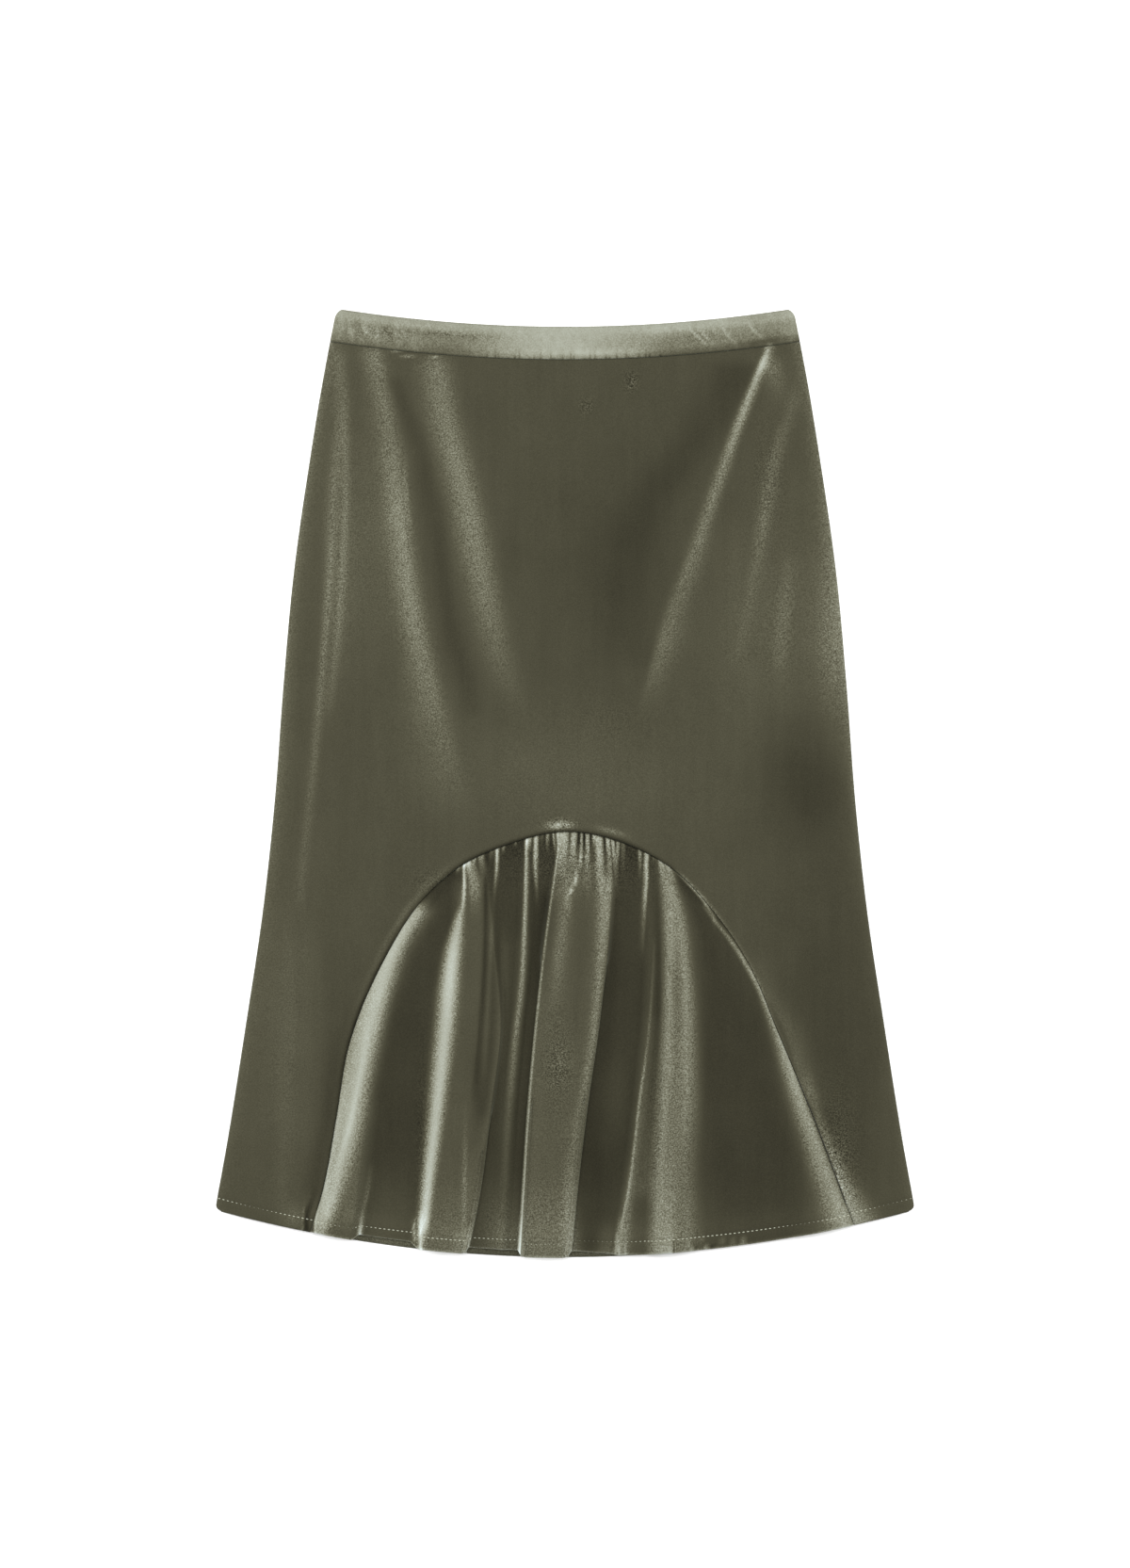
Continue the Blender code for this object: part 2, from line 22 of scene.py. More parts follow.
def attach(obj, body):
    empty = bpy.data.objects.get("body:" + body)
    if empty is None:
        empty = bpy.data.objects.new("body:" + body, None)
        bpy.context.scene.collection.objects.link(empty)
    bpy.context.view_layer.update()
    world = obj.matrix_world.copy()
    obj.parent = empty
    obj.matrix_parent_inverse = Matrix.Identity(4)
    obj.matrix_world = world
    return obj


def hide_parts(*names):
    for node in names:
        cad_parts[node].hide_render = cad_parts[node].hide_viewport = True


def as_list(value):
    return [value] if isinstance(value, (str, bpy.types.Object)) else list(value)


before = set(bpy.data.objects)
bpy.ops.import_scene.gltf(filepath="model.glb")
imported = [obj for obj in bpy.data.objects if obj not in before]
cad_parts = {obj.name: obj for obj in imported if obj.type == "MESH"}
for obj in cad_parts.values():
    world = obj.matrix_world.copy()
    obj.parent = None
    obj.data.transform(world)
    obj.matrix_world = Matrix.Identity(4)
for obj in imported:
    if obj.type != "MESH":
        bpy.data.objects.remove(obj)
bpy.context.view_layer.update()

MM = 0.001
BODY = "root"
SHARP_ANGLE = math.radians(60)
MIX_FIRST, MIX_SECOND = 6, 7
MIX_RESULT = 2
LOG = logging.getLogger("fishtail_skirt")

Array = np.ndarray
Pair = tuple[float, float]
Triple = tuple[float, float, float]
Steps = tuple[float, ...]
Stations = tuple[float, float, float, float, float, float]
Line = Callable[[Array], Array]
Socket = bpy.types.NodeSocket
Finish = bpy.types.Material
Piece = bpy.types.Object


class Slot(Enum):
    """The record's material slots."""

    PANEL = "panel_velvet"
    GODET = "godet_velvet"
    BACK = "back_velvet"
    BAND = "band_velvet"


class Face(Enum):
    """Which side of a piece of cloth its grid of points is, as Solidify's offset."""

    UPPER = -1.0
    LOWER = 1.0


class Patch(Protocol):
    """Anything that changes the cloth's height or its pile at a place."""

    def at(self, x: Array, y: Array) -> Array:
        """What it adds at each point."""


def ease(s: Array | float) -> Array:
    """0 before 0, 1 after 1, and a smooth step between."""
    s = np.clip(s, 0.0, 1.0)
    return s * s * (3 - 2 * s)


def bell(distance: Array | float, width: Array | float) -> Array:
    """1 at no distance, falling smoothly to a third at the width."""
    return np.exp(-((np.asarray(distance, float) / width) ** 2))


def quarter_round(distance: Array | float, radius: float) -> Array:
    """1 on an edge and 0 beyond the radius, falling as a quarter circle does."""
    s = np.clip(np.asarray(distance, float) / radius, 0.0, 1.0)
    return 1 - np.sqrt(1 - (1 - s) ** 2)


def from_table(pairs: tuple[Pair, ...], at: Array | float) -> Array:
    """A table of places and values, read at any places, straight between its rows."""
    return np.interp(at, *zip(*pairs))


def total(patches: Iterable[Patch], x: Array, y: Array, start: Array | float = 0.0) -> Array:
    """Adds up patches.

    Args:
        patches: The patches.
        x: Where the points are, across.
        y: Where they are, along.
        start: What the patches are added to.

    Returns:
        The sum at each point.
    """
    return sum((patch.at(x, y) for patch in patches), start)


def smooth_span(s: Array, start: Array, end: Array, slopes: tuple[Array, Array]) -> Array:
    """A smooth curve between two points.

    Args:
        s: How far along it, from 0 to 1.
        start: Its value at 0.
        end: Its value at 1.
        slopes: Its slopes at 0 and 1.

    Returns:
        The value at s.
    """
    leaving = (2 * s**3 - 3 * s**2 + 1) * start + (s**3 - 2 * s**2 + s) * slopes[0]
    arriving = (3 * s**2 - 2 * s**3) * end + (s**3 - s**2) * slopes[1]
    return leaving + arriving


def smooth_curve(stations: Array, values: Array, at: Array | float) -> Array:
    """A smooth curve through values, read at any places.

    Args:
        stations: Rising places where the curve is known.
        values: Its values there.
        at: Where to read it.

    Returns:
        The values at those places.
    """
    stations = np.asarray(stations, float)
    values = np.asarray(values, float)
    slopes = np.gradient(values, stations)
    index = np.clip(np.searchsorted(stations, at) - 1, 0, len(stations) - 2)
    run = stations[index + 1] - stations[index]
    s = (np.asarray(at, float) - stations[index]) / run
    ends = run * slopes[index], run * slopes[index + 1]
    return smooth_span(s, values[index], values[index + 1], ends)


def refine(values: Array, steps: int) -> Array:
    """A finer line through a coarse one that never swings past its points.

    Args:
        values: One row of numbers for each point of the line.
        steps: How many points take the place of each one.

    Returns:
        The rows of the finer line.
    """
    secants = np.diff(values, axis=0)
    before, after = secants[:-1], secants[1:]
    same_way = before * after > 0
    both = np.where(same_way, before + after, 1.0)
    inner = np.where(same_way, 2 * before * after / both, 0.0)
    slopes = np.concatenate([secants[:1], inner, secants[-1:]])
    at = np.arange((len(values) - 1) * steps + 1) / steps
    index = np.minimum(at.astype(int), len(values) - 2)
    s = (at - index)[:, None]
    return smooth_span(s, values[index], values[index + 1], (slopes[index], slopes[index + 1]))


def running_length(points: Array) -> Array:
    """Length along a line of points from its first one to each."""
    steps = np.linalg.norm(np.diff(points, axis=0), axis=-1)
    return np.concatenate([np.zeros_like(steps[:1]), np.cumsum(steps, axis=0)])


def ripples(x: Array, y: Array, length: float) -> Array:
    """Slow uneven undulation, as cloth has when it is laid by hand. No two waves keep in step.

    Args:
        x: Where the points are, across.
        y: Where they are, along.
        length: Scale of the undulation.

    Returns:
        A height between about -1 and 1 at each point.
    """
    u, v = x / length, y / length
    waves = np.sin(2.1 * u + 1.3 * np.sin(1.7 * v + 0.4)) + np.sin(2.9 * v - 1.1 * np.sin(2.3 * u))
    return (waves + np.sin(4.3 * u + 3.7 * v + 1.9) * 0.6) / 2.6


@dataclass(frozen=True)
class Rise:
    """A smooth change from a low value at one place to a high one at another."""

    start: float
    end: float
    low: float = 0.0
    high: float = 1.0

    def at(self, place: Array | float) -> Array:
        """The value at a place."""
        return self.low + (self.high - self.low) * ease((place - self.start) / (self.end - self.start))


@dataclass(frozen=True)
class Bow:
    """A shallow curve from side to side, y = middle + rise * (x / reach) ** 2."""

    middle: float
    rise: float
    reach: float

    def at(self, x: Array | float) -> Array:
        """Height of the curve at x."""
        return self.middle + self.rise * (np.asarray(x, float) / self.reach) ** 2


@dataclass(frozen=True)
class Outline:
    """The outline of the laid skirt, and the seam below its waistband."""

    hem: Bow = Bow(-352.0, 31.2, 245.0)
    edge: Bow = Bow(340.0, 12.0, 161.0)
    seam: Bow = Bow(315.7, 13.3, 174.0)
    hem_corner: float = 4.5
    waist_corner: float = 7.0
    heights: Steps = (-352, -312, -264, -180, -96, -12, 72, 156, 240, 296, 352)
    widths: Steps = (265.1, 259.3, 250.9, 237.6, 225.0, 215.9, 209.6, 201.9, 190.0, 180.9, 170.1)
    fit_rounds: int = 4

    def half_width(self, y: Array | float) -> Array:
        """Half the width at a height, with the corners at hem and waist rounded off.

        Args:
            y: The height.

        Returns:
            The half width there.
        """
        width = smooth_curve(self.heights, self.widths, y)
        above_hem, below_edge = y - self.hem.at(width), self.edge.at(width) - y
        for inside, corner in ((above_hem, self.hem_corner), (below_edge, self.waist_corner)):
            depth = corner - np.clip(inside, 0.0, corner)
            width = width - corner + np.sqrt(corner**2 - depth**2)
        return width

    def row(self, across: Array, line: Line) -> tuple[Array, Array]:
        """A row from side to side.

        Args:
            across: Places along it, from -1 to 1.
            line: Height of the row at x.

        Returns:
            The row's x and y.
        """
        x = across * self.widths[-1]
        for _ in range(self.fit_rounds):
            x = across * self.half_width(line(x)[-1])
        return x, line(x)

    def from_side(self, x: Array, y: Array) -> Array:
        """Distance in from the nearer side."""
        return self.half_width(y) - np.abs(x)


@dataclass(frozen=True)
class ArchSeam:
    """The arched seam between the front panel and the godet, from left foot to right foot."""

    x: Steps = (
        -189.5, -180, -170.4, -160.8, -137, -103, -81, -42, 0, 42, 84.5, 108, 137, 158, 187, 215,
    )
    y: Steps = (
        -332.9, -300, -248, -193.5, -135, -82.5, -63, -44.5, -35.3, -43, -66.5, -91.5, -134,
        -183, -253, -327.9,
    )
    left_shoulder: int = 6
    right_shoulder: int = 10
    godet_left: int = 5
    godet_right: int = 11
    samples: int = 400
    tangent_step: float = 0.5

    def lengths(self) -> Array:
        """Length along the seam from its left foot to each of its points."""
        return running_length(np.column_stack([self.x, self.y]))

    def point(self, length: Array | float, inset: float = 0.0) -> Array:
        """Points on the seam.

        Args:
            length: How far along it they are.
            inset: How far they are moved in towards the godet.

        Returns:
            Their x and y.
        """
        lengths = self.lengths()
        here, ahead = (
            [smooth_curve(lengths, line, place) for line in (self.x, self.y)]
            for place in (length, length + self.tangent_step)
        )
        along_x, along_y = ahead[0] - here[0], ahead[1] - here[1]
        norm = np.hypot(along_x, along_y)
        return np.stack([here[0] + inset * along_y / norm, here[1] - inset * along_x / norm], axis=-1)

    def nearest(self, x: Array, y: Array) -> tuple[Array, Array]:
        """The seam as seen from any points.

        Args:
            x: The points' x.
            y: Their y.

        Returns:
            Each point's distance from the seam, and the x of the place on it that is nearest.
        """
        along = np.linspace(0.0, self.lengths()[-1], self.samples)
        seam = self.point(along)
        apart = np.hypot(x[..., None] - seam[:, 0], y[..., None] - seam[:, 1])
        return apart.min(axis=-1), seam[apart.argmin(axis=-1), 0]


@dataclass(frozen=True)
class ClothHeights:
    """How thick the cloth is, how high it lies, and where its rows run near a hem."""

    wall: float = 1.2
    gap: float = 0.3
    hem_depth: float = 10.0
    stitch_line: float = 9.5
    stitch_groove: float = 0.35
    groove_width: float = 1.3
    hem_run: float = 24.0
    nose: float = 1.8
    nose_drop: float = 0.9
    thin_edge: float = 0.3
    thin_width: float = 2.2
    hem_rows: Steps = (0, 0.4, 0.9, 1.6, 2.6, 4.2, 6.0, 7.6, 8.6, 9.5, 10.4, 11.4, 13.0, 15.5)

    @property
    def low_top(self) -> float:
        """Top of a single front layer where it rests on the back."""
        return 2 * self.wall + self.gap

    @property
    def hem_top(self) -> float:
        """Top over the two doubled hems."""
        return 4 * self.wall + self.gap

    def hem_rise(self, above: Array) -> Array:
        """0 on the open cloth and 1 over the doubled hem."""
        return Rise(self.hem_run, self.hem_depth).at(above)

    def hem_dip(self, above: Array) -> Array:
        """How far the stitch line sinks and the folded edge rounds over."""
        groove = self.stitch_groove * bell(above - self.stitch_line, self.groove_width)
        return groove + self.nose_drop * quarter_round(above, self.nose)

    def thickness(self, above: Array, from_edges: Array) -> Array:
        """How thick the cloth is, doubled in the hem and thinner at a seam or a folded edge.

        Args:
            above: Height above the hem.
            from_edges: Distance from the nearest seam.

        Returns:
            Share of a doubled wall at each point.
        """
        full = np.where(above < self.hem_depth, 1.0, 0.5)
        near = quarter_round(np.minimum(from_edges, above), self.thin_width)
        return full * (1 - near * (1 - self.thin_edge))


@dataclass
class ClothGrid:
    """A grid of points on one side of a piece of cloth.

    Attributes:
        points: x, y and z in millimetres, by row and column.
        tone_and_painted_light: Lightness at each point, from 0 to 1: the pile's own tone with its painted
            light and shade.
        grit: How ruffled the pile is at each point, from 0 to 1.
        thickness: Share of a doubled wall at each point.
    """

    points: Array
    tone_and_painted_light: Array
    grit: Array
    thickness: Array

    def flow(self) -> Array:
        """Lengths along the cloth itself.

        Returns:
            For each point, its length across from the middle column and up from the first row.
        """
        across = running_length(self.points.swapaxes(0, 1)).T
        middle = self.points.shape[1] // 2
        return np.stack([across - across[:, middle, None], running_length(self.points)], axis=-1)

    def bmesh(self) -> bmesh.types.BMesh:
        """The grid as a bent sheet.

        Returns:
            A mesh in metres, with its painted tone and its grit, its thickness and its lengths along the
            cloth.
        """
        rows, columns = self.points.shape[:2]
        bm = bmesh.new()
        bmesh.ops.create_grid(bm, x_segments=columns - 1, y_segments=rows - 1, size=1.0)
        tone_and_painted_light = bm.verts.layers.float.new("tone_and_painted_light")
        grit = bm.verts.layers.float.new("grit")
        weight = bm.verts.layers.deform.verify()
        cloth = bm.loops.layers.uv.new("cloth")
        flow = self.flow() * MM
        place = {}
        for vert in bm.verts:
            column = round((vert.co.x + 1) / 2 * (columns - 1))
            row = round((vert.co.y + 1) / 2 * (rows - 1))
            vert.co = self.points[row, column] * MM
            vert[tone_and_painted_light] = self.tone_and_painted_light[row, column]
            vert[grit] = self.grit[row, column]
            vert[weight][0] = self.thickness[row, column]
            place[vert] = flow[row, column]
        for face in bm.faces:
            for loop in face.loops:
                loop[cloth].uv = place[loop.vert]
        return bm


def add_piece(name: str, bm: bmesh.types.BMesh, finish: Finish) -> Piece:
    """Turns a bmesh into a smooth-shaded object.

    Args:
        name: The piece's name.
        bm: Its mesh in metres, which this frees.
        finish: Its finish.

    Returns:
        The object, at the origin.
    """
    mesh = bpy.data.meshes.new(name)
    bm.to_mesh(mesh)
    bm.free()
    mesh.materials.append(finish)
    mesh.shade_smooth()
    obj = bpy.data.objects.new(name, mesh)
    bpy.context.scene.collection.objects.link(obj)
    return obj


def add_cloth(name: str, grid: ClothGrid, heights: ClothHeights, side: Face, finish: Finish) -> Piece:
    """A shell of cloth with its real thickness on a grid of points.

    Args:
        name: The piece's name.
        grid: The points, on one side of the cloth.
        heights: How thick the cloth is.
        side: Which side that is.
        finish: Its finish.

    Returns:
        The piece.
    """
    obj = add_piece(name, grid.bmesh(), finish)
    obj.data.set_sharp_from_angle(angle=SHARP_ANGLE)
    group = obj.vertex_groups.new(name="thickness")
    wall = obj.modifiers.new("wall", "SOLIDIFY")
    wall.thickness = 2 * heights.wall * MM
    wall.offset = side.value
    wall.vertex_group = group.name
    return obj


@dataclass(frozen=True)
class Thread:
    """A row of stitches laid along a line on the cloth.

    Attributes:
        pitch: From one stitch to the next.
        length, width: Size of one stitch.
        hidden: How far the deepest stitches sink into the pile.
        pull, drift, drift_pull: How that depth comes and goes from stitch to stitch.
        sides, rings: How finely a stitch is rounded.
    """

    pitch: float = 3.3
    length: float = 1.8
    width: float = 0.75
    hidden: float = 0.32
    pull: float = 0.11
    drift: float = 1.7
    drift_pull: float = 0.047
    sides: int = 6
    rings: int = 5

    def build(self, name: str, line: Array, finish: Finish) -> Piece:
        """The stitches as one piece.

        Args:
            name: The piece's name.
            line: Points along the row, in millimetres.
            finish: The thread's finish.

        Returns:
            The row of stitches.
        """
        along = running_length(line)
        count = int(along[-1] // self.pitch)
        size = Matrix.Diagonal((self.width / 2, self.width / 2, self.length / 2, 1.0))
        bm = bmesh.new()
        for number in range(count):
            middle = (number + 0.5) * along[-1] / count
            start, end = (
                Vector([np.interp(middle + half, along, line[:, axis]) for axis in range(3)])
                for half in (-self.length / 2, self.length / 2)
            )
            turn = (end - start).normalized().to_track_quat("Z", "Y").to_matrix().to_4x4()
            sway = self.pull * number + self.drift * math.sin(self.drift_pull * number)
            depth = self.hidden * ((1 + math.sin(sway)) / 2) ** 2
            place = Matrix.Translation((start + end) / 2 - Vector((0, 0, depth)))
            matrix = Matrix.Scale(MM, 4) @ place @ turn @ size
            bmesh.ops.create_uvsphere(
                bm, u_segments=self.sides, v_segments=self.rings, radius=1.0, matrix=matrix
            )
        return add_piece(name, bm, finish)


@dataclass(frozen=True)
class PaintedLightStreak:
    """A streak of painted light down the cloth, or of painted shade where it is darker.

    Attributes:
        path: Points down the streak, each its x, its y and the change of lightness there.
        left, right: Half widths of its two sides, spread evenly from its top to its foot.
        power: 2 where it fades softly to the sides, and more where it is even and then ends.
        fade: How far it runs on past its two ends.
    """

    path: tuple[Triple, ...]
    left: Steps
    right: Steps
    power: float = 2.0
    fade: float = 8.0

    def at(self, x: Array, y: Array) -> Array:
        """Change of lightness.

        Args:
            x: The points' x.
            y: Their y.

        Returns:
            The change at each point.
        """
        across, up, gain = np.array(self.path, float)[::-1].T
        along = np.clip(y, up[0], up[-1])
        centre = smooth_curve(up, across, along)
        down = (up[-1] - along) / (up[-1] - up[0])
        widths = [np.interp(down, np.linspace(0, 1, len(side)), side) for side in (self.left, self.right)]
        apart = np.abs(x - centre) / np.where(x < centre, *widths)
        past = np.maximum(np.maximum(y - up[-1], up[0] - y), 0.0)
        return smooth_curve(up, gain, along) * np.exp(-(apart**self.power)) * bell(past, self.fade)


@dataclass(frozen=True)
class PaintedLightAndGritPatch:
    """A broad soft patch of painted light, of painted shade where it is darker, or of ruffled pile."""

    x: float
    y: float
    reach_x: float
    reach_y: float
    gain: float

    def at(self, x: Array, y: Array) -> Array:
        """Change at each point."""
        return self.gain * bell(x - self.x, self.reach_x) * bell(y - self.y, self.reach_y)


@dataclass(frozen=True)
class Ridge:
    """A soft fold of the front panel.

    Attributes:
        x, y: Three points along it, from its top to its bottom.
        height: Its height.
        left, right: Half widths of its two sides.
        start, end: How far it takes to rise at its top, and to die out at its bottom.
    """

    x: Triple
    y: Triple
    height: float
    left: float
    right: float
    start: float = 16.0
    end: float = 70.0

    def at(self, x: Array, y: Array) -> Array:
        """Height that the fold adds.

        Args:
            x: The points' x.
            y: Their y.

        Returns:
            The height at each point.
        """
        top, _, bottom = self.y
        path = smooth_curve(self.y[::-1], self.x[::-1], np.clip(y, bottom, top))
        across = bell(x - path, np.where(x < path, self.left, self.right))
        return self.height * across * ease((top - y) / self.start) * ease((y - bottom) / self.end)


PANEL_RIDGES: dict[str, Ridge] = {
    "side left": Ridge((-163, -165, -190), (285, 150, -50), 2.2, 9, 16),
    "hip left": Ridge((-139, -119, -82), (305, 195, -25), 3.2, 9, 22),
    "front left": Ridge((-96, -71, -35), (305, 195, 55), 3.4, 10, 24),
    "front right": Ridge((145, 102, 64), (305, 195, 52), 4.0, 24, 10),
    "hip right": Ridge((166, 149, 128), (300, 195, 70), 2.8, 18, 9),
    "side right": Ridge((174, 168, 190), (170, 80, -60), 2.0, 16, 12),
    "leg left": Ridge((-205, -214, -226), (-90, -190, -290), 1.6, 12, 14),
    "leg right": Ridge((188, 212, 234), (-110, -200, -290), 1.8, 12, 10),
}
# Painted highlights along the panel's soft folds and sides, and painted shade where the gain is below 0.
PANEL_PAINTED_LIGHT_STREAKS: dict[str, PaintedLightStreak] = {
    "front left": PaintedLightStreak(
        ((-95.5, 310, 0.14), (-86, 261, 0.16), (-78, 233, 0.17), (-70, 198, 0.18), (-56, 128, 0.12),
         (-48, 93, 0.07), (-35, 58, 0.02)), (13,), (10,)),
    "hip left": PaintedLightStreak(
        ((-141, 318, 0.14), (-130, 261, 0.105), (-123, 198, 0.18), (-118.6, 163, 0.18), (-111, 118, 0.165),
         (-97, 58, 0.11), (-79, -12, 0.02)), (10, 10, 12, 28), (6.5, 9.5)),
    "hip left glint": PaintedLightStreak(((-118.5, 240, 0.02), (-118, 219, 0.1), (-116, 198, 0.04)), (1.5,), (1.5,)),
    "side left": PaintedLightStreak(
        ((-168, 315, 0.07), (-167, 268, 0.08), (-172, 219, 0.08), (-174.5, 163, 0.09), (-177, 128, 0.11),
         (-186, 23, 0.07), (-197, -82, 0.03)), (6, 3.2, 4), (6, 3.2, 4)),
    "inner side left": PaintedLightStreak(
        ((-163, 290, 0.02), (-163, 219, 0.09), (-165, 163, 0.09), (-171, 93, 0.08), (-175, 60, 0.05)),
        (3, 3, 4), (3, 3, 4)),
    "front right": PaintedLightStreak(
        ((150.5, 323, 0.3), (147, 314, 0.42), (141, 299, 0.36), (135.5, 285, 0.33), (117, 233, 0.18),
         (93, 163, 0.12), (79, 128, 0.1), (72, 105, 0.12), (58, 60, 0.02)), (2, 4, 5.5, 5, 3),
        (4, 4, 6, 14, 14)),
    "beside front right": PaintedLightStreak(((153, 310, 0.13), (159, 290, 0.03)), (8,), (8,)),
    "right valley": PaintedLightStreak(
        ((128.5, 306, -0.06), (102.5, 261, -0.05), (59, 198, -0.04), (48, 128, -0.03), (55, 93, -0.02)),
        (22,), (20,)),
    "hip right": PaintedLightStreak(
        ((170.5, 285, 0.06), (154, 233, 0.08), (148, 198, 0.09), (142.5, 163, 0.05), (128, 93, 0.02)),
        (5,), (5,)),
    "side right": PaintedLightStreak(((168, 163, 0.03), (163, 133, 0.06), (160, 93, 0.05)), (6,), (6,)),
    "left valley": PaintedLightStreak(
        ((-127, 296, -0.04), (-109.5, 255, -0.04), (-97, 198, -0.04), (-87, 128, -0.04), (-70, 58, -0.03)),
        (8,), (8,)),
    "left foot edge": PaintedLightStreak(
        ((-194.2, -316, 0.06), (-194.8, -326, 0.16), (-195, -336, 0.16)), (0.9,), (0.9,), 2, 3),
    "left foot gap": PaintedLightStreak(
        ((-187, -306, -0.03), (-192, -318, -0.12), (-193, -340, -0.12)), (1.8,), (2.8,), 4, 4),
    "left leg": PaintedLightStreak(((-206, -117, 0.01), (-207, -200, 0.02), (-210, -330, 0.02)), (9,), (9,)),
    "beside the left seam": PaintedLightStreak(
        ((-146, -135, 0), (-167, -193, -0.02), (-177, -248, -0.05), (-186, -300, -0.05)), (8,), (6,)),
    "seam lip": PaintedLightStreak(((140, -140, 0.03), (163, -180, 0.06), (178, -230, 0.09)), (2,), (11,)),
    "foot lip": PaintedLightStreak(
        ((181, -222, 0.05), (190.5, -257, 0.13), (201.5, -292, 0.24), (214, -325, 0.32)), (3, 4),
        (4, 5, 9, 17)),
}
# Broad patches of painted light, of painted shade where the gain is below 0, and glints painted just below
# the band.
PANEL_PAINTED_LIGHT_PATCHES: dict[str, PaintedLightAndGritPatch] = {
    "front": PaintedLightAndGritPatch(35, 170, 60, 90, -0.03),
    "right seat": PaintedLightAndGritPatch(180, 5, 34, 45, -0.06),
    "right hip edge": PaintedLightAndGritPatch(200, 120, 14, 70, 0.105),
    "right hip": PaintedLightAndGritPatch(150, 115, 50, 75, 0.045),
    "left flank": PaintedLightAndGritPatch(-145, 190, 26, 90, 0.045),
    "left side": PaintedLightAndGritPatch(-168, 160, 12, 70, 0.04),
    "over the arch": PaintedLightAndGritPatch(0, 5, 90, 40, 0.035),
    "left foot": PaintedLightAndGritPatch(-201, -322, 6, 8, 0.07),
    "left leg": PaintedLightAndGritPatch(-200, -170, 40, 110, 0.03),
    "beside the left foot": PaintedLightAndGritPatch(-170, -190, 16, 90, -0.03),
    "right leg": PaintedLightAndGritPatch(205, -170, 50, 130, -0.045),
    "glint below the band": PaintedLightAndGritPatch(-126, 321.7, 4, 0.9, 0.2),
    "second glint below the band": PaintedLightAndGritPatch(-117, 318.0, 5, 1.1, 0.2),
    "third glint below the band": PaintedLightAndGritPatch(-97.5, 317.4, 4, 0.9, 0.22),
}
# Painted highlights on the front panel beside the arch seam: x is the place on the seam,
# and y the distance from it.
SEAM_PAINTED_HIGHLIGHTS: dict[str, PaintedLightAndGritPatch] = {
    "apex": PaintedLightAndGritPatch(-4, 5, 8, 2.6, 0.34),
    "right of the apex": PaintedLightAndGritPatch(33, 5.5, 10, 2, 0.14),
    "left shoulder": PaintedLightAndGritPatch(-112, 4.5, 30, 2.0, 0.06),
}
PANEL_RUFFLED: dict[str, PaintedLightAndGritPatch] = {
    "over the arch": PaintedLightAndGritPatch(32, 47, 28, 16, 0.15),
    "right foot": PaintedLightAndGritPatch(203, -284, 12, 44, 0.9),
    "mark below the band": PaintedLightAndGritPatch(49, 299, 4.5, 6, 1.1),
    "second mark": PaintedLightAndGritPatch(16, 281, 5, 5, 0.7),
    "left of the arch": PaintedLightAndGritPatch(-100, -72, 14, 8, 0.4),
    "apex": PaintedLightAndGritPatch(-4, -30, 12, 4, 0.8),
    "hip right": PaintedLightAndGritPatch(152, 225, 10, 40, 0.4),
}


